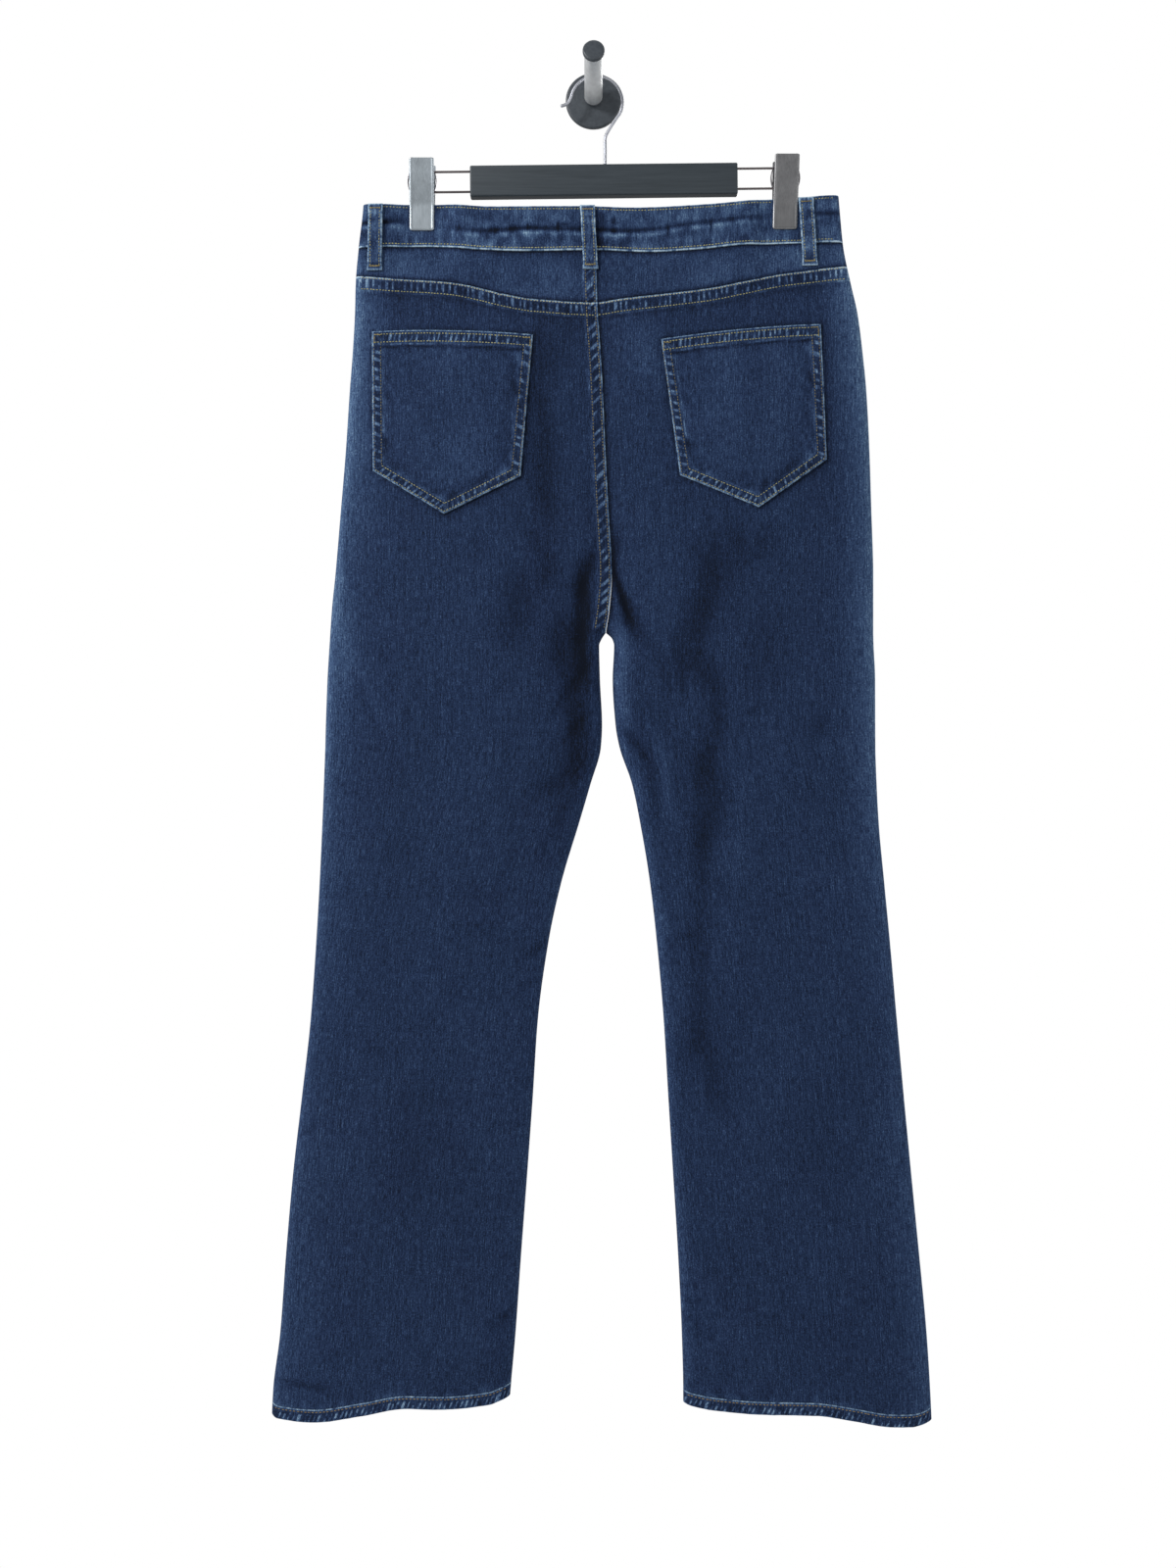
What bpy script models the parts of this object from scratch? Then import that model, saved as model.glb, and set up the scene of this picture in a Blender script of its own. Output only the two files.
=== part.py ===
"""Jeans hung by the waistband from a two-clip hanger on a wall peg.

Frame: metres, +Z up, +X to the right as the back of the jeans is seen, the wall
is the plane Y = 0 and everything is on its -Y side.  The origin is the centre of
the wall plate's flat back.  The tables and sizes below are in millimetres.

The cloth is two sheets, back (towards -Y) and front (towards +Y), on the two
sides of a hanging plane.  A sheet's distance from that plane is its depth.  The
outline comes from SECTIONS, the depths from DEPTHS, and every piece of cloth is a
loft over part of one sheet.  Its inner face is worked out from the same sections,
set in by the wall, so that the rims of two pieces meet squarely at a seam.
"""
import math
from collections import namedtuple

import bpy
import bmesh
import numpy as np
from mathutils import Matrix, Vector

MM = 0.001

# ------------------------------------------------------------------ sizes (mm)
HANG_Y = -22.0            # plane the garment and the hanger hang in
SEAM_GAP = 0.3            # space kept between neighbouring pieces
CLOTH_WALL = 1.2          # one layer of denim with its seams' share
BAND_WALL = 2.6           # waistband, folded and interlined
HEM_WALL = 2.4            # leg hem, three layers
HEM_HEIGHT = 11.5
POCKET_WALL = 1.5
LOOP_WALL = 1.8
LOOP_WIDTH = 11.8
LAID_GAP = 0.6            # space under a piece that lies on a panel
FRONT_DIP = 17.0          # the front waist hangs this much lower at its middle
MOUTH_DROP = 76.0         # hip pocket mouth, down the side seam
MOUTH_WIDTH = 100.0       # hip pocket mouth, along the waistband
FLY_WIDTH = 40.0
FLY_LENGTH = 165.0
BUTTON_DIAMETER = 17.0

CLIP_LEFT_X, CLIP_RIGHT_X = -151.9, 170.3
CLIP_WIDTH = 20.4
CLIP_PINCH_DEPTH = 3.0    # depth of either sheet where the jaws hold it
CLIP_WALL = 1.2
HOOP_HALF_WIDTH, HOOP_HALF_HEIGHT = 13.0, 16.6   # spring hoop between the jaws
HOOP_DEPTH, HOOP_WALL = 5.6, 0.8

BAR_LENGTH, BAR_HEIGHT, BAR_THICK = 237.0, 27.4, 12.0
BAR_X, BAR_Z = 9.2, -78.2
HANGER_TILT = math.radians(0.65)
RAIL_DIAMETER = 2.0
RAIL_SPACING = 17.9
RAIL_LIFT = 1.0           # middle of the rails above the middle of the bar
HOOK_DIAMETER = 2.8
HOOK_STEM_X = 10.4

PLATE_DIAMETER, PLATE_THICK = 49.6, 6.0
PEG_DIAMETER, PEG_LENGTH = 16.0, 74.0
PEG_RISE = math.radians(12.0)
CAP_DIAMETER, CAP_THICK = 19.0, 5.0

# --------------------------------------------------------------------- tables
Section = namedtuple("Section", "z left_out left_in right_in right_out")
SECTIONS = [
    Section(-80, -203.0, 2.0, 2.0, 216.5),
    Section(-105, -204.6, 2.1, 2.1, 218.6),
    Section(-136, -208.2, 2.2, 2.2, 221.6),
    Section(-169, -211.0, 2.9, 2.9, 228.3),
    Section(-196, -211.7, 3.8, 3.8, 234.4),
    Section(-230, -213.6, 6.2, 6.2, 238.8),
    Section(-265, -216.3, 8.2, 8.2, 242.2),
    Section(-317, -219.7, 10.5, 10.5, 244.9),
    Section(-370, -224.1, 13.2, 13.2, 246.6),
    Section(-428, -229.0, 16.2, 16.2, 248.3),
    Section(-456, -231.9, 14.2, 14.2, 248.3),
    Section(-479, -233.5, 11.0, 11.0, 248.3),
    Section(-484, -233.8, 7.6, 16.4, 248.4),
    Section(-490, -234.2, 5.2, 18.2, 248.6),
    Section(-520, -236.0, 5.9, 16.9, 250.0),
    Section(-561, -237.5, 7.8, 19.5, 250.1),
    Section(-580, -238.0, 6.8, 22.9, 250.2),
    Section(-613, -239.2, -2.4, 34.1, 251.3),
    Section(-648, -240.6, -12.7, 41.4, 253.2),
    Section(-700, -243.0, -28.3, 50.0, 258.0),
    Section(-752, -246.0, -39.6, 56.0, 263.0),
    Section(-822, -251.0, -49.2, 62.2, 269.2),
    Section(-892, -258.9, -53.8, 66.4, 275.6),
    Section(-961, -266.8, -58.8, 70.7, 282.2),
    Section(-1031, -272.9, -64.1, 75.0, 289.1),
    Section(-1100, -278.0, -69.0, 78.3, 295.6),
    Section(-1150, -284.2, -73.5, 79.6, 298.8),
    Section(-1190, -286.0, -77.0, 79.8, 300.6),
]

# depth of each sheet at its inner edge, its middle and its outer shoulder
Depth = namedtuple("Depth", "z back_in back_mid back_out front_in front_mid front_out cap_in cap_out")
DEPTHS = [
    Depth(-80, 8.0, 7.2, 4.8, 9.4, 7.6, 4.8, 7, 5.0),
    Depth(-140, 8.2, 7.6, 4.8, 9.6, 8.0, 4.8, 7, 5.0),
    Depth(-175, 10.0, 10.0, 5.6, 9.8, 9.4, 5.6, 7, 6.0),
    Depth(-215, 12.0, 14.0, 7.0, 10.4, 11.0, 6.6, 8, 7.5),
    Depth(-265, 13.6, 17.6, 8.0, 11.0, 12.6, 7.0, 9, 8.5),
    Depth(-330, 13.8, 18.8, 8.2, 11.0, 13.0, 7.2, 9, 9.0),
    Depth(-420, 12.4, 17.6, 8.0, 10.0, 12.6, 7.0, 9, 9.0),
    Depth(-484, 10.5, 16.4, 7.6, 9.4, 12.2, 7.0, 9, 9.0),
    Depth(-560, 8.4, 15.0, 7.2, 8.0, 11.6, 6.6, 9, 8.5),
    Depth(-700, 6.8, 12.6, 6.6, 6.6, 10.2, 6.2, 8, 8.0),
    Depth(-800, 6.4, 11.2, 6.2, 6.2, 9.4, 6.0, 8, 8.0),
    Depth(-950, 6.4, 11.2, 6.2, 6.2, 9.4, 6.0, 8, 8.0),
    Depth(-1080, 6.8, 12.2, 6.6, 6.4, 10.2, 6.2, 8, 8.0),
    Depth(-1190, 7.4, 13.6, 7.2, 6.8, 11.2, 6.6, 8, 8.0),
]

Edge = namedtuple("Edge", "x z")
WAIST_TOP = [Edge(-215, -100.0), Edge(-140, -99.8), Edge(-90, -102.8), Edge(-12, -102.6),
             Edge(34, -104.0), Edge(100, -100.8), Edge(158, -95.0), Edge(190, -93.0),
             Edge(225, -91.6)]
WAIST_FOOT = [Edge(-215, -138.6), Edge(-145, -137.2), Edge(-100, -141.0), Edge(-60, -142.4),
              Edge(0, -141.6), Edge(50, -143.3), Edge(90, -141.0), Edge(135, -136.2),
              Edge(180, -134.2), Edge(230, -133.8)]
YOKE_FOOT = [Edge(-215, -165.6), Edge(-169, -169.3), Edge(-126, -172.6), Edge(-76, -184.0),
             Edge(-54, -187.8), Edge(0, -191.0), Edge(26, -187.4), Edge(65, -183.0),
             Edge(103, -178.0), Edge(134, -171.5), Edge(165, -165.0), Edge(235, -155.8)]
HEM_FOOT_LEFT = [Edge(-290, -1168.0), Edge(-279, -1173.4), Edge(-248, -1176.0),
                 Edge(-205, -1169.8), Edge(-166, -1163.4), Edge(-133, -1164.6),
                 Edge(-92, -1161.3), Edge(-83, -1158.0), Edge(-70, -1153.0)]
HEM_FOOT_RIGHT = [Edge(74, -1159.5), Edge(105, -1165.4), Edge(147, -1168.6), Edge(196, -1169.6),
                  Edge(229, -1174.4), Edge(262, -1180.2), Edge(281, -1181.0), Edge(303, -1175.0)]

# largest folds: soft troughs pressed into a sheet along a line
Fold = namedtuple("Fold", "sheet x0 z0 x1 z1 width depth")
FOLDS = [
    Fold("back", -28, -436, -12, -540, 17, 2.6),
    Fold("back", -8, -590, -62, -628, 15, 2.0),
    Fold("back", 30, -486, 84, -640, 20, 2.4),
    Fold("back", 92, -640, 138, -720, 26, 1.6),
    Fold("front", -34, -450, -70, -600, 22, 2.2),
    Fold("front", 40, -450, 92, -610, 22, 2.2),
    Fold("front", 8, -360, 14, -440, 18, 1.6),
]

# patch pockets on the seat: corners as seen, top edge then down
Pocket = namedtuple("Pocket", "name side top_left top_right foot_left tip foot_right")
POCKETS = [
    Pocket("back_pocket_left", "left", (-194.2, -215.3), (-53.3, -219.0),
           (-193.5, -337.0), (-131.2, -375.4), (-64.4, -342.8)),
    Pocket("back_pocket_right", "right", (59.4, -222.1), (200.3, -207.8),
           (75.9, -342.4), (145.0, -370.4), (205.2, -327.5)),
]

# belt loops: middle of the strap at its upper and lower end
Loop = namedtuple("Loop", "name sheet x_top x_foot top_inset length")
LOOPS = [
    Loop("belt_loop_back", "back", -5.4, -2.6, 0.8, 55.5),
    Loop("belt_loop_back_left", "back", -192.7, -193.4, 1.4, 58.0),
    Loop("belt_loop_back_right", "back", 188.0, 191.6, 1.6, 60.0),
    Loop("belt_loop_front_left", "front", -104.0, -106.0, 1.4, 57.0),
    Loop("belt_loop_front_right", "front", 120.0, 122.0, 1.4, 57.0),
]

# seat-side heights at which the leg panels carry a section
PANEL_LEVELS = [-206, -236, -278, -330, -380, -425, -455, -472, -480, -484.5, -490, -503, -535,
                -572, -604, -645, -700, -765, -840, -920, -1000, -1075, -1128]
CAP_ANGLES = [0, 36, 66, 90]     # sections through the rounded edges, degrees
INNER_SPANS = 6                  # columns between the two rounded edges


# ------------------------------------------------------------ reading a table
def column(table, key, name):
    return (np.array([getattr(row, key) for row in table], float),
            np.array([getattr(row, name) for row in table], float))


def monotone(xs, ys, x):
    """Smooth curve through a table's points that never overshoots them."""
    if xs[0] > xs[-1]:
        xs, ys = xs[::-1], ys[::-1]
    x = min(max(x, xs[0]), xs[-1])
    i = int(min(max(np.searchsorted(xs, x) - 1, 0), len(xs) - 2))
    step = np.diff(xs)
    rise = np.diff(ys) / step

    def slope(k):
        if k == 0:
            return rise[0]
        if k == len(xs) - 1:
            return rise[-1]
        a, b = rise[k - 1], rise[k]
        return 0.0 if a * b <= 0 else 2 * a * b / (a + b)

    h = step[i]
    t = (x - xs[i]) / h
    return ((1 + 2 * t) * (1 - t) ** 2 * ys[i] + t * (1 - t) ** 2 * h * slope(i)
            + t * t * (3 - 2 * t) * ys[i + 1] + t * t * (t - 1) * h * slope(i + 1))


def read(table, key, name, x):
    return float(monotone(*column(table, key, name), x))


def ease(t):
    t = min(max(t, 0.0), 1.0)
    return t * t * (3 - 2 * t)


# ------------------------------------------------------------ shape of a sheet
def outer_edge(side, z):
    return read(SECTIONS, "z", side + "_out", z)


def inner_edge(side, z):
    """Centre seam above the crotch, the leg's inner edge below it."""
    part = SEAT_SECTIONS if z >= CROTCH_Z else LEG_SECTIONS
    return read(part, "z", side + "_in", z)


CROTCH_Z = -479.0
SEAT_SECTIONS = [row for row in SECTIONS if row.z >= CROTCH_Z]
LEG_SECTIONS = [row for row in SECTIONS if row.z <= CROTCH_Z]
GAP_LINE = [(inner_edge("left", z), z) for z in (-1190, -900, -700, -640, -610, -585, -560, -530,
                                                  -505, -494, -490, -487, -484, -481.5, -479)]
GAP_LINE += [(inner_edge("right", z), z) for z in (-481.5, -484, -487, -490, -494, -505, -530, -560,
                                                   -585, -610, -640, -700, -900, -1190)]


def to_gap(x, z):
    """Distance from a point of the sheet to the edge of the gap between the legs."""
    best = 1e9
    for (ax, az), (bx, bz) in zip(GAP_LINE, GAP_LINE[1:]):
        ux, uz = bx - ax, bz - az
        t = ((x - ax) * ux + (z - az) * uz) / (ux * ux + uz * uz)
        t = min(max(t, 0.0), 1.0)
        best = min(best, math.hypot(x - ax - t * ux, z - az - t * uz))
    return best


def rounded(distance, radius):
    """Rises from 0 at an edge to 1 one radius inside it, as a quarter ellipse."""
    t = 1 - min(max(distance / radius, 0.0), 1.0)
    return math.sqrt(max(0.0, 1 - t * t))


def pinch(x, z):
    """1 where the clips hold the waist flat, easing to 0 around them."""
    near = 0.0
    for clip_x in (CLIP_LEFT_X, CLIP_RIGHT_X):
        across = ease((36 - abs(x - clip_x)) / 24)
        near = max(near, across)
    return near * ease((z + 176) / 44)


def fold_depth(sheet, x, z):
    total = 0.0
    for f in FOLDS:
        if f.sheet != sheet:
            continue
        ux, uz = f.x1 - f.x0, f.z1 - f.z0
        length = math.hypot(ux, uz)
        along = ((x - f.x0) * ux + (z - f.z0) * uz) / length
        away = ((x - f.x0) * uz - (z - f.z0) * ux) / length
        ends = ease((along + 22) / 44) * ease((length + 22 - along) / 44)
        total += f.depth * ends * math.exp(-(away / f.width) ** 2)
    return total


def depth(sheet, side, x, z, inset=0.0):
    """Distance of the sheet's outer face from the hanging plane."""
    sign = -1 if side == "left" else 1
    inner, outer = inner_edge(side, z), outer_edge(side, z)
    q = min(max((x - inner) / (outer - inner), 0.0), 1.0)
    at_in, at_mid, at_out = (read(DEPTHS, "z", f"{sheet}_{place}", z)
                             for place in ("in", "mid", "out"))
    main = at_in * (1 - q) * (1 - 2 * q) + 4 * at_mid * q * (1 - q) + at_out * q * (2 * q - 1)
    hold = pinch(x, z)
    main = main * (1 - hold) + CLIP_PINCH_DEPTH * hold
    main -= fold_depth(sheet, x, z)
    main = max(main - inset, 0.2)
    cap_in, cap_out = read(DEPTHS, "z", "cap_in", z), read(DEPTHS, "z", "cap_out", z)
    near_out = (outer - x) * sign - inset
    near_gap = max(to_gap(x, z) - inset, 0.0)
    return main * rounded(near_out, cap_out) * rounded(near_gap, cap_in)


def place(sheet, side, x, z, inset=0.0, lift=0.0):
    """Point of a sheet: its outer face, moved in by inset or out by lift."""
    away = depth(sheet, side, x, z, inset) + SEAM_GAP / 2 + lift
    return Vector((x, HANG_Y + (away if sheet == "front" else -away), z)) * MM


def side_of(x, z):
    return "left" if x < inner_edge("left", z) else "right"


def closed_edge(z):
    """0 where a panel's inner edge is a centre seam, 1 where it rounds to the inseam."""
    return ease((-473.0 - z) / 11.0)


def column_x(side, z, index, inset=0.0, cut_in=0.0):
    """x of a panel's column: rounded edges close together, the rest evenly apart."""
    sign = -1 if side == "left" else 1
    inner = inner_edge(side, z) + sign * (cut_in + inset * closed_edge(z))
    outer = outer_edge(side, z) - sign * inset
    cap_in, cap_out = read(DEPTHS, "z", "cap_in", z), read(DEPTHS, "z", "cap_out", z)
    caps = len(CAP_ANGLES) - 1
    last = 2 * caps + INNER_SPANS
    if index <= caps:
        return inner + sign * cap_in * (1 - math.cos(math.radians(CAP_ANGLES[index])))
    if index >= last - caps:
        return outer - sign * cap_out * (1 - math.cos(math.radians(CAP_ANGLES[last - index])))
    t = (index - caps) / INNER_SPANS
    return (inner + sign * cap_in) * (1 - t) + (outer - sign * cap_out) * t


COLUMNS = 2 * (len(CAP_ANGLES) - 1) + INNER_SPANS + 1


def waist_edge(table, sheet, x):
    """Height of the waistband's edge, lower on the front sheet's middle."""
    z = read(table, "x", "z", x)
    if sheet == "front":
        u = min(abs(x - 6) / 208, 1.0)
        z -= FRONT_DIP * (1 - u * u) ** 2
    return z


def hem_foot(side, x):
    return read(HEM_FOOT_LEFT if side == "left" else HEM_FOOT_RIGHT, "x", "z", x)


# ------------------------------------------------------------- making objects
def material(name, colour, rough, metal=0.0):
    mat = bpy.data.materials.get(name)
    if mat is None:
        mat = bpy.data.materials.new(name)
        mat.use_nodes = True
        shader = mat.node_tree.nodes["Principled BSDF"]
        shader.inputs["Base Color"].default_value = (*colour, 1)
        shader.inputs["Roughness"].default_value = rough
        shader.inputs["Metallic"].default_value = metal
        mat.diffuse_color = (*colour, 1)
    return mat


def link(name, mesh, mat, collection="jeans_on_hanger"):
    obj = bpy.data.objects.new(name, mesh)
    bpy.data.collections[collection].objects.link(obj)
    if mat is not None:
        mesh.materials.append(mat)
    return obj


def shell(name, outer, inner, mat, closed=False):
    """Wall between two lofted faces given as rows of points, with square rims."""
    mesh = bpy.data.meshes.new(name)
    count, last = len(outer[0]), len(outer) - 1
    points = [p for row in outer for p in row] + [p for row in inner for p in row]
    shift = count * len(outer)
    spans = count if closed else count - 1
    faces = []
    for r in range(last):
        for c in range(spans):
            d = (c + 1) % count
            a = (r * count + c, r * count + d, (r + 1) * count + d, (r + 1) * count + c)
            faces += [a, tuple(k + shift for k in reversed(a))]
    for c in range(spans):
        d = (c + 1) % count
        faces.append((d, c, c + shift, d + shift))
        low = last * count
        faces.append((low + c, low + d, low + d + shift, low + c + shift))
    if not closed:
        for r in range(last):
            a, b = r * count, (r + 1) * count
            faces.append((a, b, b + shift, a + shift))
            a, b = a + count - 1, b + count - 1
            faces.append((b, a, a + shift, b + shift))
    mesh.from_pydata(points, [], faces)
    bm = bmesh.new()
    bm.from_mesh(mesh)
    bmesh.ops.triangulate(bm, faces=bm.faces)
    bmesh.ops.recalc_face_normals(bm, faces=bm.faces)
    if bm.calc_volume(signed=True) < 0:
        bmesh.ops.reverse_faces(bm, faces=bm.faces)
    bm.to_mesh(mesh)
    bm.free()
    mesh.shade_smooth()
    mesh.set_sharp_from_angle(angle=math.radians(50))
    return link(name, mesh, mat)


def jaw_plate(name, rows, wall, mat, faces_out):
    """Bent plate: an open surface with its wall on the inner side."""
    mesh = bpy.data.meshes.new(name)
    count = len(rows[0])
    faces = [(r * count + c, r * count + c + 1, (r + 1) * count + c + 1, (r + 1) * count + c)
             for r in range(len(rows) - 1) for c in range(count - 1)]
    mesh.from_pydata([p for row in rows for p in row], [], faces)
    mesh.update()
    if mesh.polygons[0].normal.dot(Vector(faces_out)) < 0:
        mesh.flip_normals()
    obj = link(name, mesh, mat)
    mod = obj.modifiers.new("wall", "SOLIDIFY")
    mod.thickness = wall * MM
    mod.offset = -1.0
    mod.use_even_offset = True
    return obj


def box_object(name, size, centre, mat, bevel=0.0, segments=2, collection="jeans_on_hanger"):
    mesh = bpy.data.meshes.new(name)
    bm = bmesh.new()
    bmesh.ops.create_cube(bm, size=1.0)
    bmesh.ops.scale(bm, vec=Vector(size) * MM, verts=bm.verts)
    bm.to_mesh(mesh)
    bm.free()
    obj = link(name, mesh, mat, collection)
    obj.location = Vector(centre) * MM
    if bevel:
        mod = obj.modifiers.new("edges", "BEVEL")
        mod.width = bevel * MM
        mod.segments = segments
        mod.limit_method = "ANGLE"
    return obj


def cylinder_object(name, radius, length, mat, segments=40, bevel=0.0,
                    collection="jeans_on_hanger"):
    """Cylinder along local Z, centred."""
    mesh = bpy.data.meshes.new(name)
    bm = bmesh.new()
    bmesh.ops.create_cone(bm, cap_ends=True, segments=segments, radius1=radius * MM,
                          radius2=radius * MM, depth=length * MM)
    bm.to_mesh(mesh)
    bm.free()
    mesh.shade_smooth()
    mesh.set_sharp_from_angle(angle=math.radians(40))
    obj = link(name, mesh, mat, collection)
    if bevel:
        mod = obj.modifiers.new("edges", "BEVEL")
        mod.width = bevel * MM
        mod.segments = 3
        mod.limit_method = "ANGLE"
        mod.angle_limit = math.radians(40)
    return obj


def wire_object(name, points, diameter, mat, resolution=2):
    """Round wire through points, in millimetres."""
    curve = bpy.data.curves.new(name, "CURVE")
    curve.dimensions = "3D"
    curve.bevel_depth = diameter / 2 * MM
    curve.bevel_resolution = resolution
    curve.use_fill_caps = True
    spline = curve.splines.new("POLY")
    spline.points.add(len(points) - 1)
    for target, p in zip(spline.points, points):
        target.co = (p[0] * MM, p[1] * MM, p[2] * MM, 1)
    obj = bpy.data.objects.new(name, curve)
    bpy.data.collections["jeans_on_hanger"].objects.link(obj)
    curve.materials.append(mat)
    return obj


def through(points, count):
    """Evenly spread points on a smooth curve through a few given ones."""
    pts = [Vector(p) for p in points]
    pts = [2 * pts[0] - pts[1]] + pts + [2 * pts[-1] - pts[-2]]
    fine = []
    for a, b, c, d in zip(pts, pts[1:], pts[2:], pts[3:]):
        for k in range(12):
            t = k / 12
            fine.append(0.5 * (2 * b + (c - a) * t + (2 * a - 5 * b + 4 * c - d) * t * t
                               + (3 * b - a - 3 * c + d) * t ** 3))
    fine.append(pts[-2])
    run = [0.0]
    for a, b in zip(fine, fine[1:]):
        run.append(run[-1] + (b - a).length)
    out = []
    for k in range(count):
        want = run[-1] * k / (count - 1)
        i = min(max(int(np.searchsorted(run, want)) - 1, 0), len(fine) - 2)
        span = run[i + 1] - run[i]
        out.append(fine[i].lerp(fine[i + 1], 0 if span == 0 else (want - run[i]) / span))
    return out


# -------------------------------------------------------------------- the cloth
def settle(height, x_at, start):
    """Height where a column meets an edge whose height depends on x."""
    z = start
    for _ in range(6):
        z = height(x_at(z))
    return z


def panel(name, sheet, side, top, foot, levels, mat):
    """Leg panel or yoke: one side of a sheet between two edges."""
    faces = []
    for inset in (0.0, CLOTH_WALL):
        rows = []
        for kind in [top] + list(levels) + [foot]:
            row = []
            for index in range(COLUMNS):
                x_at = lambda h: column_x(side, h, index, inset, SEAM_GAP / 2)
                z = settle(kind, x_at, -150.0) if callable(kind) else float(kind)
                row.append(place(sheet, side, x_at(z), z, inset))
            rows.append(row)
        faces.append(rows)
    return shell(name, faces[0], faces[1], mat)


def between(top, foot, share):
    return lambda x: top(x) * (1 - share) + foot(x) * share


def back_panels(denim):
    for side in ("left", "right"):
        waist = lambda x: waist_edge(WAIST_FOOT, "back", x) - SEAM_GAP
        yoke = lambda x: read(YOKE_FOOT, "x", "z", x)
        panel("yoke_" + side, "back", side, waist, lambda x: yoke(x) + SEAM_GAP,
              [between(waist, yoke, 0.5)], denim)
        panel("back_" + side, "back", side, yoke,
              lambda x: hem_foot(side, x) + HEM_HEIGHT, PANEL_LEVELS, denim)


def mouth(side, x):
    """How far the hip pocket's mouth has dropped below the waistband at x."""
    sign = -1 if side == "left" else 1
    start = outer_edge(side, -190.0) - sign * MOUTH_WIDTH
    t = min(max((x - start) * sign / MOUTH_WIDTH, 0.0), 1.0)
    return MOUTH_DROP * (1 - (1 - t) ** 2.4)


def front_panels(denim):
    for side in ("left", "right"):
        sign = -1 if side == "left" else 1
        waist = lambda x: waist_edge(WAIST_FOOT, "front", x) - SEAM_GAP
        scoop = lambda x: waist(x) - mouth(side, x)
        rest = lambda x: -278.0
        panel("front_" + side, "front", side, scoop,
              lambda x: hem_foot(side, x) + HEM_HEIGHT,
              [between(scoop, rest, 0.3), between(scoop, rest, 0.65)]
              + [z for z in PANEL_LEVELS if z <= -278], denim)

        # facing: fills the mouth, and runs on a little under the front panel
        faces = []
        for inset in (CLOTH_WALL + 0.7, CLOTH_WALL + 1.7):
            rows = []
            for share in (0.0, 0.2, 0.4, 0.6, 0.8, 1.0):
                row = []
                for index in range(9):
                    def x_at(z):
                        outer = outer_edge(side, z) - sign * inset
                        cap = read(DEPTHS, "z", "cap_out", z)
                        if index >= 5:
                            return outer - sign * cap * (0, 0.19, 0.59, 1)[8 - index]
                        begin = outer_edge(side, -190) - sign * (MOUTH_WIDTH + 9)
                        return begin + (outer - sign * cap - begin) * index / 5
                    edge = lambda x: waist(x) - 0.9 - (mouth(side, x) + 12) * share
                    z = settle(edge, x_at, -170.0)
                    row.append(place("front", side, x_at(z), z, inset))
                rows.append(row)
            faces.append(rows)
        shell("pocket_facing_" + side, faces[0], faces[1], denim)


def waistband(denim):
    """One strip from the front's middle, round both sides, and back under itself."""
    centre = inner_edge("left", -130)
    lap_over, lap_under = 9.0, 21.0
    under = BAND_WALL + 0.6
    along = {"left": [-38, -78, -116, -137, -152, -167, -186], "right": [40, 84, 128, 155, 170, 186, 203]}
    stations = []                              # sheet, side, x or edge column, step inward

    def run(sheet, side, outward):
        end = list(range(len(CAP_ANGLES) - 1, 0, -1))
        part = [(sheet, side, float(x), None, 0.0) for x in along[side]]
        part += [(sheet, side, None, angle, 0.0) for angle in end]
        stations.extend(part if outward else part[::-1])

    stations.append(("front", "right", centre + lap_over, None, 0.0))
    stations.append(("front", "right", centre + 1.0, None, 0.0))
    stations.append(("front", "left", centre - 12.0, None, 0.0))
    run("front", "left", True)
    stations.append(("back", "left", None, 0, 0.0))
    run("back", "left", False)
    stations.append(("back", "left", centre - 9.0, None, 0.0))
    stations.append(("back", "right", centre + 9.0, None, 0.0))
    run("back", "right", True)
    stations.append(("back", "right", None, 0, 0.0))
    run("front", "right", False)
    stations.append(("front", "right", centre + 23.0, None, 0.0))
    stations.append(("front", "right", centre + 11.0, None, under))
    stations.append(("front", "right", centre + 1.0, None, under))
    stations.append(("front", "left", centre - lap_under, None, under))
    faces = []
    for inset in (0.0, BAND_WALL):
        rows = []
        for share in (0.0, 0.5, 1.0):
            row = []
            for sheet, side, fixed, angle, inward in stations:
                sign = -1 if side == "left" else 1

                def x_at(z):
                    if fixed is not None:
                        return fixed
                    cap = read(DEPTHS, "z", "cap_out", z)
                    return outer_edge(side, z) - sign * (
                        inset + cap * (1 - math.cos(math.radians(CAP_ANGLES[angle]))))
                edge = lambda x: (waist_edge(WAIST_TOP, sheet, x) * (1 - share)
                                  + waist_edge(WAIST_FOOT, sheet, x) * share)
                z = settle(edge, x_at, -120.0)
                p = place(sheet, side, x_at(z), z, inset + inward)
                if angle == 0:
                    p.y = HANG_Y * MM
                row.append(p)
            rows.append(row)
        faces.append(rows)
    return shell("waistband", faces[0], faces[1], denim)


def hems(denim):
    for side in ("left", "right"):
        faces = []
        for inset in (0.0, HEM_WALL):
            rows = []
            for share in (0.0, 1.0):
                row = []
                for sheet, order in (("back", range(COLUMNS)),
                                     ("front", range(COLUMNS - 2, 0, -1))):
                    for index in order:
                        edge = lambda x: hem_foot(side, x) + (HEM_HEIGHT - SEAM_GAP) * (1 - share)
                        x_at = lambda h: column_x(side, h, index, inset)
                        z = settle(edge, x_at, -1165.0)
                        p = place(sheet, side, x_at(z), z, inset)
                        if index in (0, COLUMNS - 1):
                            p.y = HANG_Y * MM
                        row.append(p)
                rows.append(row)
            faces.append(rows)
        shell("leg_hem_" + side, faces[0], faces[1], denim, closed=True)


def laid_on(name, sheet, outline, wall, mat, rise=lambda v: 0.0):
    """Piece that lies on a sheet: outline gives rows of (x, z), rise its lift at v."""
    faces = []
    last = len(outline) - 1
    for up in (wall, 0.0):
        faces.append([[place(sheet, side_of(x, z), x, z, 0.0, LAID_GAP + rise(r / last) + up)
                       for x, z in row] for r, row in enumerate(outline)])
    return shell(name, faces[0], faces[1], mat)


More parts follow.
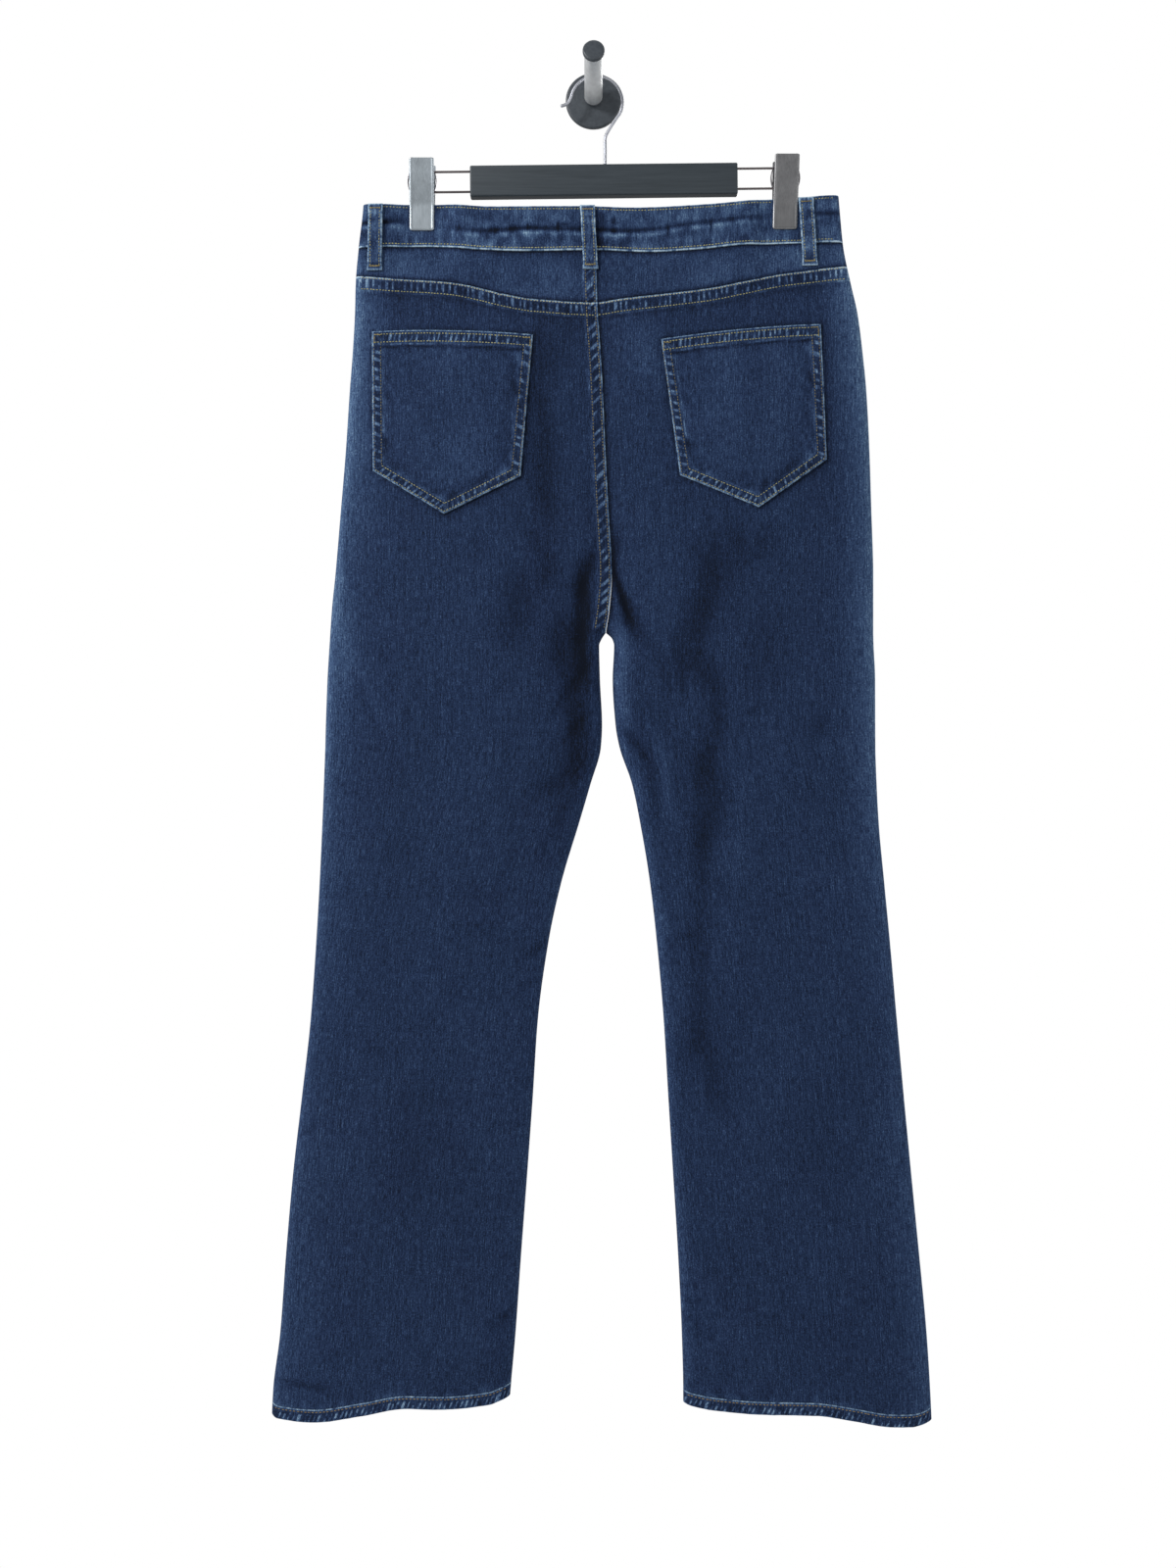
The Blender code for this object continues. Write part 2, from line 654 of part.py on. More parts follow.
def pockets(denim):
    for p in POCKETS:
        rows = []
        for v in np.linspace(0, 1, 9):
            row = []
            for u in np.linspace(0, 1, 9):
                top = Vector(p.top_left).lerp(Vector(p.top_right), u)
                if u <= 0.46:
                    foot = Vector(p.foot_left).lerp(Vector(p.tip), u / 0.46)
                else:
                    foot = Vector(p.tip).lerp(Vector(p.foot_right), (u - 0.46) / 0.54)
                row.append(tuple(top.lerp(foot, v)))
            rows.append(row)
        laid_on(p.name, "back", rows, POCKET_WALL, denim)


def belt_loops(denim):
    for item in LOOPS:
        top = waist_edge(WAIST_TOP, item.sheet, item.x_top) - item.top_inset
        rows = []
        for v in np.linspace(0, 1, 8):
            x = item.x_top + (item.x_foot - item.x_top) * v
            rows.append([(x + across * LOOP_WIDTH, top - item.length * v)
                         for across in (-0.5, 0.0, 0.5)])
        laid_on(item.name, item.sheet, rows, LOOP_WALL, denim,
                lambda v: 0.1 + 1.3 * math.sin(math.pi * v))


def fly(denim, tape, brass):
    """Facing and closed zip behind the front's middle, and the button before it."""
    waist = lambda x: waist_edge(WAIST_FOOT, "front", x) - SEAM_GAP - 0.4
    for name, near, far, length, inset, wall, mat in (
            ("fly_facing", 12.0, -FLY_WIDTH, FLY_LENGTH, CLOTH_WALL + 0.7, 1.2, denim),
            ("fly_zip", 10.0, -16.0, FLY_LENGTH - 18, 2 * CLOTH_WALL + 1.5, 1.0, tape)):
        faces = []
        for deep in (inset, inset + wall):
            rows = []
            for v in np.linspace(0, 1, 7):
                row = []
                narrow = 1 - 0.62 * max(0.0, (v - 0.6) / 0.4) ** 2 if mat is denim else 1.0
                for u in np.linspace(0, 1, 4):
                    x_at = lambda z: inner_edge("left", z) + near + (far * narrow - near) * u
                    z = settle(lambda x: waist(x) - length * v, x_at, -200.0)
                    row.append(place("front", side_of(x_at(z), z), x_at(z), z, deep))
                rows.append(row)
            faces.append(rows)
        shell(name, faces[0], faces[1], mat)

    x = inner_edge("left", -140) - 5.0
    z = (waist_edge(WAIST_TOP, "front", x) + waist_edge(WAIST_FOOT, "front", x)) / 2
    seat = place("front", "left", x, z).y / MM + 0.35
    rim = BUTTON_DIAMETER / 2
    profile = [(0.0, 0.0), (3.0, 0.0), (3.0, 1.1), (rim - 0.6, 1.1), (rim, 1.7),
               (rim - 0.5, 2.9), (rim - 1.6, 3.2), (rim - 2.4, 2.7), (0.0, 2.7)]
    mesh = bpy.data.meshes.new("waist_button")
    verts = [(r * MM, 0, -h * MM) for r, h in profile]
    mesh.from_pydata(verts, [(i, i + 1) for i in range(len(verts) - 1)], [])
    obj = link("waist_button", mesh, brass)
    mod = obj.modifiers.new("turn", "SCREW")
    mod.axis = "Z"
    mod.steps = mod.render_steps = 24
    mod.use_merge_vertices = True
    mod.merge_threshold = 0.00001
    mod.use_smooth_shade = False
    obj.matrix_world = Matrix.Translation(Vector((x, seat, z)) * MM) @ Matrix.Rotation(
        math.radians(90), 4, "X")


# ------------------------------------------------------- hanger and wall hook
def hanger_point(dx, y, dz):
    """Point given from the bar's middle, tilted with the hanger (mm)."""
    c, s = math.cos(HANGER_TILT), math.sin(HANGER_TILT)
    return (BAR_X + dx * c - dz * s, y, BAR_Z + dx * s + dz * c)


def clip(side, centre_x, top_z, foot_z, lean, steel):
    """Two jaws that pinch the waistband, and the spring hoop that carries them."""
    for name, sign in (("outer", -1), ("inner", 1)):
        jaw = CLIP_PINCH_DEPTH + SEAM_GAP / 2 + 0.35 + CLIP_WALL
        profile = [(top_z, jaw + 6.2), ((top_z - 95) / 2 - 4, jaw + 3.4), (-96.0, jaw + 0.9),
                   (-99.5, jaw), (foot_z + 1.6, jaw), (foot_z, jaw + 0.9)]
        rows = []
        for z, away in profile:
            trim = 1.0 if z in (top_z, foot_z) else 0.0
            half = CLIP_WIDTH / 2 - trim
            shift = (z - (top_z + foot_z) / 2) * math.tan(lean)
            rows.append([Vector((centre_x + shift + half * u, HANG_Y + sign * away, z)) * MM
                         for u in (-1, -0.33, 0.33, 1)])
        jaw_plate(f"clip_{side}_{name}", rows, CLIP_WALL, steel, (0, sign, 0))

    # hoop: an oval band between the jaws, its sides bored for the rails
    dx = centre_x - BAR_X
    middle = Vector(hanger_point(dx, HANG_Y, RAIL_LIFT)) * MM
    name = f"clip_{side}_bracket"
    mesh = bpy.data.meshes.new(name)
    bm = bmesh.new()
    bmesh.ops.create_cone(bm, cap_ends=False, segments=28, radius1=MM, radius2=MM,
                          depth=HOOP_DEPTH * MM)
    bmesh.ops.scale(bm, vec=(HOOP_HALF_WIDTH, HOOP_HALF_HEIGHT, 1), verts=bm.verts)
    bm.to_mesh(mesh)
    bm.free()
    mesh.shade_smooth()
    body = link(name, mesh, steel)
    body.matrix_world = (Matrix.Translation(middle) @ Matrix.Rotation(-HANGER_TILT, 4, "Y")
                         @ Matrix.Rotation(math.radians(90), 4, "X"))
    wall = body.modifiers.new("wall", "SOLIDIFY")
    wall.thickness = HOOP_WALL * MM
    wall.offset = -1.0
    for sign in (-1, 1):
        hole = cylinder_object(f"{name}_bore_{'low' if sign < 0 else 'high'}",
                               RAIL_DIAMETER / 2 + 0.5, 2 * HOOP_HALF_WIDTH, None, 16,
                               collection="cutters")
        inward = HOOP_HALF_WIDTH if side == "left" else -HOOP_HALF_WIDTH
        at = hanger_point(dx + inward, HANG_Y, RAIL_LIFT + sign * RAIL_SPACING / 2)
        hole.matrix_world = (Matrix.Translation(Vector(at) * MM)
                             @ Matrix.Rotation(-HANGER_TILT, 4, "Y")
                             @ Matrix.Rotation(math.radians(90), 4, "Y"))
        hole.hide_render = True
        hole.display_type = "WIRE"
        mod = body.modifiers.new("bore", "BOOLEAN")
        mod.operation = "DIFFERENCE"
        mod.object = hole


def rail(side, reach, wire):
    """Bent wire: out of the bar's end, round a bend inside the hoop and back."""
    sign = -1 if side == "left" else 1
    start = BAR_LENGTH / 2 + 0.4
    half = RAIL_SPACING / 2
    bend = 4.5

    def at(dx, dz):
        return hanger_point(sign * dx, HANG_Y, RAIL_LIFT + dz)

    turn = [math.radians(22.5 * k) for k in range(5)]
    points = [at(start, half)]
    points += [at(reach - bend + bend * math.sin(a), half - bend + bend * math.cos(a)) for a in turn]
    points += [at(reach - bend + bend * math.sin(a), -half + bend - bend * math.cos(a))
               for a in reversed(turn)]
    points += [at(start, -half)]
    wire_object("hanger_rail_" + side, points, RAIL_DIAMETER, wire)


def hook(chrome):
    """Stem out of the bar, a crook over the peg, and a short turned-out end."""
    foot = BAR_Z + BAR_HEIGHT / 2 + 0.45
    middle_x, middle_z, radius = 2.6, -7.7, 23.0
    points = [(HOOK_STEM_X, HANG_Y, foot), (HOOK_STEM_X, HANG_Y, -50.0),
              (HOOK_STEM_X + 0.2, HANG_Y, -39.5), (13.6, HANG_Y, -32.8), (19.4, HANG_Y, -23.6),
              (24.2, HANG_Y, -16.2)]
    for degrees in (-2, 16, 36, 56, 76, 96, 116, 136, 154, 168):
        a = math.radians(degrees)
        points.append((middle_x + radius * math.cos(a), HANG_Y, middle_z + radius * math.sin(a)))
    points += [(-22.4, HANG_Y, -8.0), (-25.4, HANG_Y, -10.3), (-28.4, HANG_Y, -11.2)]
    return wire_object("hanger_hook", through(points, 46), HOOK_DIAMETER, chrome)


def wall_hook(black, chrome):
    """Round plate on the wall, and a peg that rises out of it to a cap."""
    out = Matrix.Rotation(math.radians(90), 4, "X")          # local +Z becomes -Y
    plate = cylinder_object("wall_plate", PLATE_DIAMETER / 2, PLATE_THICK, black, 48, 0)
    plate.matrix_world = Matrix.Translation(Vector((0, -PLATE_THICK / 2, 0)) * MM) @ out
    aim = Matrix.Rotation(math.radians(90) - PEG_RISE, 4, "X")
    axis = Vector((0, -math.cos(PEG_RISE), math.sin(PEG_RISE)))
    start = (PLATE_THICK + 2.2) / math.cos(PEG_RISE)
    shaft = cylinder_object("peg_shaft", PEG_DIAMETER / 2, PEG_LENGTH - start, chrome, 36, 0)
    shaft.matrix_world = Matrix.Translation(axis * (start + PEG_LENGTH) / 2 * MM) @ aim
    cap = cylinder_object("peg_cap", CAP_DIAMETER / 2, CAP_THICK, black, 36, 1.2)
    cap.matrix_world = Matrix.Translation(
        axis * (PEG_LENGTH + SEAM_GAP + CAP_THICK / 2) * MM) @ aim


# ------------------------------------------------------------------------ main
def build():
    for obj in list(bpy.data.objects):
        bpy.data.objects.remove(obj, do_unlink=True)
    for name in ("jeans_on_hanger", "cutters"):
        collection = bpy.data.collections.new(name)
        bpy.context.scene.collection.children.link(collection)

    denim = material("denim", (0.016, 0.040, 0.105), 0.86)
    tape = material("zip_tape", (0.02, 0.03, 0.06), 0.8)
    brass = material("button_brass", (0.45, 0.30, 0.16), 0.35, 1.0)
    black = material("black_lacquer", (0.028, 0.032, 0.036), 0.45)
    chrome = material("chrome", (0.72, 0.73, 0.75), 0.12, 1.0)
    steel = material("brushed_steel", (0.42, 0.43, 0.44), 0.38, 1.0)

    waistband(denim)
    back_panels(denim)
    front_panels(denim)
    hems(denim)
    pockets(denim)
    belt_loops(denim)
    fly(denim, tape, brass)

    bar = box_object("hanger_bar", (BAR_LENGTH, BAR_THICK, BAR_HEIGHT), (BAR_X, HANG_Y, BAR_Z),
                     black, 1.2, 2)
    bar.rotation_euler = (0, -HANGER_TILT, 0)
    rail("left", BAR_X - CLIP_LEFT_X + 7.5, steel)
    rail("right", CLIP_RIGHT_X - BAR_X + 7.5, steel)
    clip("left", CLIP_LEFT_X, -60.6, -123.1, math.radians(0.3), steel)
    clip("right", CLIP_RIGHT_X, -57.2, -122.0, math.radians(1.4), steel)
    hook(chrome)
    wall_hook(black, chrome)


build()
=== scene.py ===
"""Looks of the jeans on their clip hanger and wall peg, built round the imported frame.

The tables and sizes are in millimetres, in the frame of the model: +Z up, +X to the
right as the back of the jeans is seen, the wall is the plane Y = 0.  Points become
metres when a mesh is made.

The cloth is two sheets on the two sides of a hanging plane, as in the model, and the
same sections and depths are repeated here.  On top of them come the finer forms: the
felled seams, the crease of the waistband, the puckers of the hems, small folds, and
the stitches, each a bead of thread.
"""
import math
from collections import namedtuple

import bpy
import bmesh
import numpy as np
from mathutils import Matrix, Vector


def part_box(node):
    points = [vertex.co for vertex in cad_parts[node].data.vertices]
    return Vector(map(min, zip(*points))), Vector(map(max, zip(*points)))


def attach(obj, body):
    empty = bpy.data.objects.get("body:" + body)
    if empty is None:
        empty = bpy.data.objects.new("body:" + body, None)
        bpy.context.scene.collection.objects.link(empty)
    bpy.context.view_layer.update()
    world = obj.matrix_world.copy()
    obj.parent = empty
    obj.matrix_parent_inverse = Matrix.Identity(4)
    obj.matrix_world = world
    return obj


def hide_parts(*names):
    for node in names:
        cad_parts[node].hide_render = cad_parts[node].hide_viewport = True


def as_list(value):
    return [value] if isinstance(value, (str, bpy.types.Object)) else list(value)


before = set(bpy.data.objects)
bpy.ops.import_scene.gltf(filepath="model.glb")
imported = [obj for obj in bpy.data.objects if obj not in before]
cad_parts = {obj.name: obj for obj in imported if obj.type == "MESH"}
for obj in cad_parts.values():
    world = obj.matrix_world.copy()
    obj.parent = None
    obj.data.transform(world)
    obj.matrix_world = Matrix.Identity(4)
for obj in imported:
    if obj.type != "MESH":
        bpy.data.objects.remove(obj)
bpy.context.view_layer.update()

MM = 0.001

# ------------------------------------------------------------------ sizes (mm)
HANG_Y = -22.0
SEAM_GAP = 0.3
CLOTH_WALL = 1.2
BAND_WALL = 2.6
HEM_WALL = 2.4
HEM_HEIGHT = 11.5
POCKET_WALL = 1.5
LOOP_WALL = 1.8
LOOP_WIDTH = 12.6
FRONT_DIP = 17.0
MOUTH_DROP = 76.0
MOUTH_WIDTH = 100.0
FLY_WIDTH = 40.0
FLY_LENGTH = 165.0
BUTTON_DIAMETER = 17.0
YOKE_BAND = 12.3          # felled seam under the yoke
SEAT_BAND = 11.6          # felled seam down the seat
BAND_RISE = 0.8           # how far a felled seam stands up

CLIP_LEFT_X, CLIP_RIGHT_X = -151.9, 170.3
CLIP_WIDTH = 21.8
CLIP_PINCH_DEPTH = 3.0
CLIP_WALL = 1.2
HOOP_HALF_WIDTH, HOOP_HALF_HEIGHT = 13.0, 16.6
HOOP_DEPTH, HOOP_WALL = 5.6, 0.8

BAR_LENGTH, BAR_HEIGHT, BAR_THICK = 237.0, 27.4, 12.0
BAR_X, BAR_Z = 9.2, -78.2
HANGER_TILT = math.radians(0.65)
RAIL_DIAMETER = 2.0
RAIL_SPACING = 17.9
RAIL_LIFT = 1.0
HOOK_DIAMETER = 2.8
HOOK_STEM_X = 10.4

PLATE_DIAMETER, PLATE_THICK = 49.6, 6.0
PEG_DIAMETER, PEG_LENGTH = 16.0, 74.0
PEG_RISE = math.radians(12.0)
CAP_DIAMETER, CAP_THICK = 19.0, 5.0

# --------------------------------------------------------------------- tables
Section = namedtuple("Section", "z left_out left_in right_in right_out")
SECTIONS = [
    Section(-80, -203.0, 2.0, 2.0, 216.5),
    Section(-105, -204.6, 2.1, 2.1, 218.6),
    Section(-136, -208.2, 2.2, 2.2, 221.6),
    Section(-169, -211.0, 2.9, 2.9, 228.3),
    Section(-196, -211.7, 3.8, 3.8, 234.4),
    Section(-230, -213.6, 6.2, 6.2, 238.8),
    Section(-265, -216.3, 8.2, 8.2, 242.2),
    Section(-317, -219.7, 10.5, 10.5, 244.9),
    Section(-370, -224.1, 13.2, 13.2, 246.6),
    Section(-428, -229.0, 16.2, 16.2, 248.3),
    Section(-456, -231.9, 14.2, 14.2, 248.3),
    Section(-479, -233.5, 11.0, 11.0, 248.3),
    Section(-484, -233.8, 7.6, 16.4, 248.4),
    Section(-490, -234.2, 5.2, 18.2, 248.6),
    Section(-520, -236.0, 5.9, 16.9, 250.0),
    Section(-561, -237.5, 7.8, 19.5, 250.1),
    Section(-580, -238.0, 6.8, 22.9, 250.2),
    Section(-613, -239.2, -2.4, 34.1, 251.3),
    Section(-648, -240.6, -12.7, 41.4, 253.2),
    Section(-700, -243.0, -28.3, 50.0, 258.0),
    Section(-752, -246.0, -39.6, 56.0, 263.0),
    Section(-822, -251.0, -49.2, 62.2, 269.2),
    Section(-892, -258.9, -53.8, 66.4, 275.6),
    Section(-961, -266.8, -58.8, 70.7, 282.2),
    Section(-1031, -272.9, -64.1, 75.0, 289.1),
    Section(-1100, -278.0, -69.0, 78.3, 295.6),
    Section(-1150, -284.2, -73.5, 79.6, 298.8),
    Section(-1190, -286.0, -77.0, 79.8, 300.6),
]

Depth = namedtuple("Depth", "z back_in back_mid back_out front_in front_mid front_out cap_in cap_out")
DEPTHS = [
    Depth(-80, 8.0, 7.2, 4.8, 9.4, 7.6, 4.8, 7, 5.0),
    Depth(-140, 8.2, 7.6, 4.8, 9.6, 8.0, 4.8, 7, 5.0),
    Depth(-175, 10.0, 10.0, 5.6, 9.8, 9.4, 5.6, 7, 6.0),
    Depth(-215, 12.0, 14.0, 7.0, 10.4, 11.0, 6.6, 8, 7.5),
    Depth(-265, 13.6, 17.6, 8.0, 11.0, 12.6, 7.0, 9, 8.5),
    Depth(-330, 13.8, 18.8, 8.2, 11.0, 13.0, 7.2, 9, 9.0),
    Depth(-420, 12.4, 17.6, 8.0, 10.0, 12.6, 7.0, 9, 9.0),
    Depth(-484, 10.5, 16.4, 7.6, 9.4, 12.2, 7.0, 9, 9.0),
    Depth(-560, 8.4, 15.0, 7.2, 8.0, 11.6, 6.6, 9, 8.5),
    Depth(-700, 6.8, 12.6, 6.6, 6.6, 10.2, 6.2, 8, 8.0),
    Depth(-800, 6.4, 11.2, 6.2, 6.2, 9.4, 6.0, 8, 8.0),
    Depth(-950, 6.4, 11.2, 6.2, 6.2, 9.4, 6.0, 8, 8.0),
    Depth(-1080, 6.8, 12.2, 6.6, 6.4, 10.2, 6.2, 8, 8.0),
    Depth(-1190, 7.4, 13.6, 7.2, 6.8, 11.2, 6.6, 8, 8.0),
]

Edge = namedtuple("Edge", "x z")
WAIST_TOP = [Edge(-215, -100.0), Edge(-140, -99.8), Edge(-90, -102.8), Edge(-12, -102.6),
             Edge(34, -104.0), Edge(100, -100.8), Edge(158, -95.0), Edge(190, -93.0),
             Edge(225, -91.6)]
WAIST_FOOT = [Edge(-215, -138.6), Edge(-145, -137.2), Edge(-100, -141.0), Edge(-60, -142.4),
              Edge(0, -141.6), Edge(50, -143.3), Edge(90, -141.0), Edge(135, -136.2),
              Edge(180, -134.2), Edge(230, -133.8)]
YOKE_FOOT = [Edge(-215, -165.6), Edge(-169, -169.3), Edge(-126, -172.6), Edge(-76, -184.0),
             Edge(-54, -187.8), Edge(0, -191.0), Edge(26, -187.4), Edge(65, -183.0),
             Edge(103, -178.0), Edge(134, -171.5), Edge(165, -165.0), Edge(235, -155.8)]
HEM_FOOT = {
    "left": [Edge(-290, -1168.0), Edge(-279, -1173.4), Edge(-248, -1176.0),
             Edge(-205, -1169.8), Edge(-166, -1163.4), Edge(-133, -1164.6),
             Edge(-92, -1161.3), Edge(-83, -1158.0), Edge(-70, -1153.0)],
    "right": [Edge(74, -1159.5), Edge(105, -1165.4), Edge(147, -1168.6), Edge(196, -1169.6),
              Edge(229, -1174.4), Edge(262, -1180.2), Edge(281, -1181.0), Edge(303, -1175.0)]}

# folds: soft troughs pressed into a sheet along a line, or ridges where depth is negative
Fold = namedtuple("Fold", "sheet x0 z0 x1 z1 width depth")
FOLDS = [
    Fold("back", -28, -436, -12, -540, 17, 2.6),
    Fold("back", -8, -590, -62, -628, 15, 2.0),
    Fold("back", 30, -486, 84, -640, 20, 2.4),
    Fold("back", 92, -640, 138, -720, 26, 1.6),
    Fold("front", -34, -450, -70, -600, 22, 2.2),
    Fold("front", 40, -450, 92, -610, 22, 2.2),
    Fold("front", 8, -360, 14, -440, 18, 1.6),
]
# finer ones, left to the visible cloth, each with how much painted shade darkens it (a negative shade is a painted
# highlight)
Crinkle = namedtuple("Crinkle", "sheet x0 z0 x1 z1 width depth shade")
FINE_FOLDS = [
    # between the left pocket and the seat seam
    Crinkle("back", -48, -206, -41, -300, 9, 0.7, 0.46),
    Crinkle("back", -41, -300, -39, -384, 11, 1.0, 0.58),
    Crinkle("back", -22, -196, -30, -250, 9, 0.5, 0.31),
    Crinkle("back", -60, -386, -42, -420, 9, 0.6, 0.39),
    Crinkle("back", -62, -424, -74, -486, 15, 0.8, 0.53),
    Crinkle("back", -34, -410, -48, -440, 10, 0.5, 0.4),
    # gathered to the left of the crotch
    Crinkle("back", 2, -406, -10, -450, 6, 1.6, 0.95),
    Crinkle("back", -9, -424, -12, -486, 6.5, 1.8, 1.3),
    Crinkle("back", -14, -470, -8, -526, 7, 1.3, 0.8),
    Crinkle("back", -18, -530, -16, -600, 9, 0.9, 0.62),
    Crinkle("back", -2, -504, -30, -546, 5, 1.1, 0.6),
    Crinkle("back", -30, -470, -26, -520, 12, 0.9, 0.7),
    Crinkle("back", -8, -556, -24, -572, 4, 0.6, 0.5),
    Crinkle("back", -14, -600, -50, -622, 6, 0.6, 0.34),
    # right of the seat seam
    Crinkle("back", 18.5, -424, 29, -462, 3.0, 2.0, 1.9),
    Crinkle("back", 27, -448, 34, -476, 4.5, 1.2, 0.7),
    Crinkle("back", 22, -392, 17, -424, 5, 0.8, 0.62),
    Crinkle("back", 30, -456, 44, -486, 7, 0.9, 0.7),
    Crinkle("back", 126, -382, 132, -422, 9, 0.6, 0.46),
    Crinkle("back", 155, -386, 143, -414, 8, 0.6, 0.40),
    Crinkle("back", 110, -402, 93, -470, 14, 1.0, 0.70),
    Crinkle("back", 89, -462, 94, -522, 13, 1.0, 0.62),
    Crinkle("back", 75, -482, 79, -534, 6, 0.8, 0.48),
    Crinkle("back", 100, -510, 114, -566, 9, 1.0, 0.52),
    Crinkle("back", 135, -553, 146, -543, 3.6, 0.5, 0.40),
    Crinkle("back", 194, -570, 207, -547, 9, 0.4, 0.28),
    Crinkle("back", 56, -500, 68, -536, 5, 0.7, 0.46),
    Crinkle("back", 106, -560, 98, -612, 11, 0.8, 0.42),
    Crinkle("back", 97, -590, 102, -668, 13, 0.9, 0.62),
    Crinkle("back", 122, -600, 118, -650, 9, 0.5, 0.30),
    Crinkle("back", 95, -664, 90, -760, 9, 0.8, 0.40),
    Crinkle("back", 25, -566, 50, -594, 3.6, 1.0, 0.60),
    Crinkle("back", 46, -590, 56, -640, 5, 0.6, 0.36),
    Crinkle("back", 152, -470, 134, -540, 18, 0.6, 0.22),
    Crinkle("back", 94, -752, 90, -850, 9, 0.7, 0.34),
    # ridges that catch the light
    Crinkle("back", 24, -474, 30, -560, 6.5, -0.8, -0.62),
    Crinkle("back", 54, -566, 70, -640, 6, -0.6, -0.53),
    Crinkle("back", 40, -206, 52, -262, 13, -0.5, -0.46),
    Crinkle("back", 118, -600, 124, -700, 14, -0.6, -0.31),
    Crinkle("back", -212, -500, -180, -576, 4, -0.4, -0.34),
    Crinkle("back", -206, -520, -176, -590, 5, 0.5, 0.25),
    Crinkle("back", -224, -420, -214, -520, 9, -0.3, -0.34),
    # below the knee and at the hems
    Crinkle("back", -58, -766, -42, -754, 3.6, 0.9, 0.62),
    Crinkle("back", -64, -792, -48, -786, 3.2, 0.6, 0.39),
    Crinkle("back", -200, -838, -184, -852, 4, 0.6, 0.34),
    Crinkle("back", 72, -752, 92, -742, 4, 0.7, 0.43),
    Crinkle("back", 92, -640, 98, -700, 6, 0.5, 0.31),
    Crinkle("back", 92, -824, 112, -900, 9, 0.7, 0.4),
    Crinkle("back", 76, -1078, 95, -1092, 2.8, 0.9, 0.65),
    Crinkle("back", 78, -1066, 90, -1075, 2.6, 0.7, 0.53),
    Crinkle("back", 78, -1094, 99, -1100, 2.8, 0.6, 0.43),
    Crinkle("back", -88, -1092, -68, -1076, 3.6, 0.8, 0.5),
    Crinkle("back", -262, -924, -240, -912, 3.2, 0.6, 0.31),
    Crinkle("back", -276, -1140, -232, -1146, 3.4, 0.7, 0.7),
    Crinkle("back", -160, -880, -172, -1000, 24, 0.6, 0.12),
    Crinkle("back", 200, -860, 214, -1010, 24, 0.6, 0.12),
    Crinkle("back", 128, -1000, 140, -1100, 22, 0.5, 0.12),
    # pulled down from the clips
    Crinkle("back", -138, -146, -112, -188, 10, 0.6, 0.34),
    Crinkle("back", -166, -146, -176, -196, 9, 0.5, 0.28),
    Crinkle("back", 158, -142, 132, -186, 10, 0.7, 0.34),
    Crinkle("back", 184, -142, 198, -184, 9, 0.5, 0.28),
    Crinkle("back", -30, -150, -56, -172, 6, 0.5, 0.46),
    Crinkle("back", 16, -150, 40, -166, 5, 0.5, 0.43),
    Crinkle("back", -96, -150, -66, -156, 4, 0.4, 0.34),
    Crinkle("front", 0, -430, -14, -470, 5, 1.8, 0.9),
    Crinkle("front", 20, -440, 30, -474, 6, 1.4, 0.7),
    Crinkle("front", -60, -380, -34, -450, 12, 1.2, 0.7),
    Crinkle("front", 92, -372, 56, -452, 14, 1.2, 0.7),
    Crinkle("front", -110, -300, -60, -380, 16, 0.8, 0.39),
    Crinkle("front", 150, -300, 100, -372, 16, 0.8, 0.39),
    Crinkle("front", -98, -560, -130, -690, 18, 0.9, 0.34),
    Crinkle("front", 110, -560, 142, -700, 18, 0.9, 0.34),
    Crinkle("front", 70, -600, 92, -690, 9, 0.9, 0.53),
    Crinkle("front", -40, -640, -66, -720, 9, 0.9, 0.53),
    Crinkle("front", -66, -764, -50, -752, 4, 0.8, 0.54),
    Crinkle("front", 72, -768, 90, -756, 4, 0.8, 0.54),
    Crinkle("front", -170, -880, -182, -1020, 22, 0.6, 0.12),
    Crinkle("front", 190, -860, 204, -1000, 22, 0.6, 0.12),
    Crinkle("front", -250, -700, -262, -800, 14, 0.6, 0.19),
    Crinkle("front", 236, -720, 252, -830, 14, 0.6, 0.19),
    Crinkle("front", 84, -1080, 104, -1092, 3, 0.7, 0.54),
    Crinkle("front", -96, -1088, -76, -1074, 3.4, 0.7, 0.54),
    Crinkle("front", -140, -160, -120, -210, 11, 0.7, 0.31),
    Crinkle("front", 150, -156, 130, -206, 11, 0.7, 0.31),
]

Pocket = namedtuple("Pocket", "name side top_left top_right foot_left tip foot_right")
POCKETS = [
    Pocket("back_pocket_left", "left", (-195.3, -214.0), (-53.3, -217.8),
           (-194.3, -337.4), (-131.2, -376.0), (-64.0, -343.0)),
    Pocket("back_pocket_right", "right", (59.4, -222.1), (200.3, -207.8),
           (75.9, -342.4), (145.0, -370.4), (205.2, -327.5)),
]

Loop = namedtuple("Loop", "name sheet x_top x_foot top_inset length")
LOOPS = [
    Loop("belt_loop_back", "back", -5.4, -2.6, 0.8, 55.5),
    Loop("belt_loop_back_left", "back", -192.7, -193.4, 1.4, 58.0),
    Loop("belt_loop_back_right", "back", 188.0, 191.6, 1.6, 60.0),
    Loop("belt_loop_front_left", "front", -104.0, -106.0, 1.4, 57.0),
    Loop("belt_loop_front_right", "front", 120.0, 122.0, 1.4, 57.0),
]

# small tucks in the waistband, painted in only as dark shade
Pucker = namedtuple("Pucker", "x z wide tall")
PUCKERS = [Pucker(-31, -124, 1.3, 6.0), Pucker(-26, -119, 5.0, 1.6), Pucker(17.6, -116.5, 1.8, 3.5),
           Pucker(18.0, -125.5, 2.6, 2.6), Pucker(-58, -121, 1.2, 3.5), Pucker(66, -124, 1.3, 4.5),
           Pucker(104, -122, 1.2, 4.0), Pucker(-86, -125, 1.2, 4.5), Pucker(134, -119, 1.5, 4.0)]

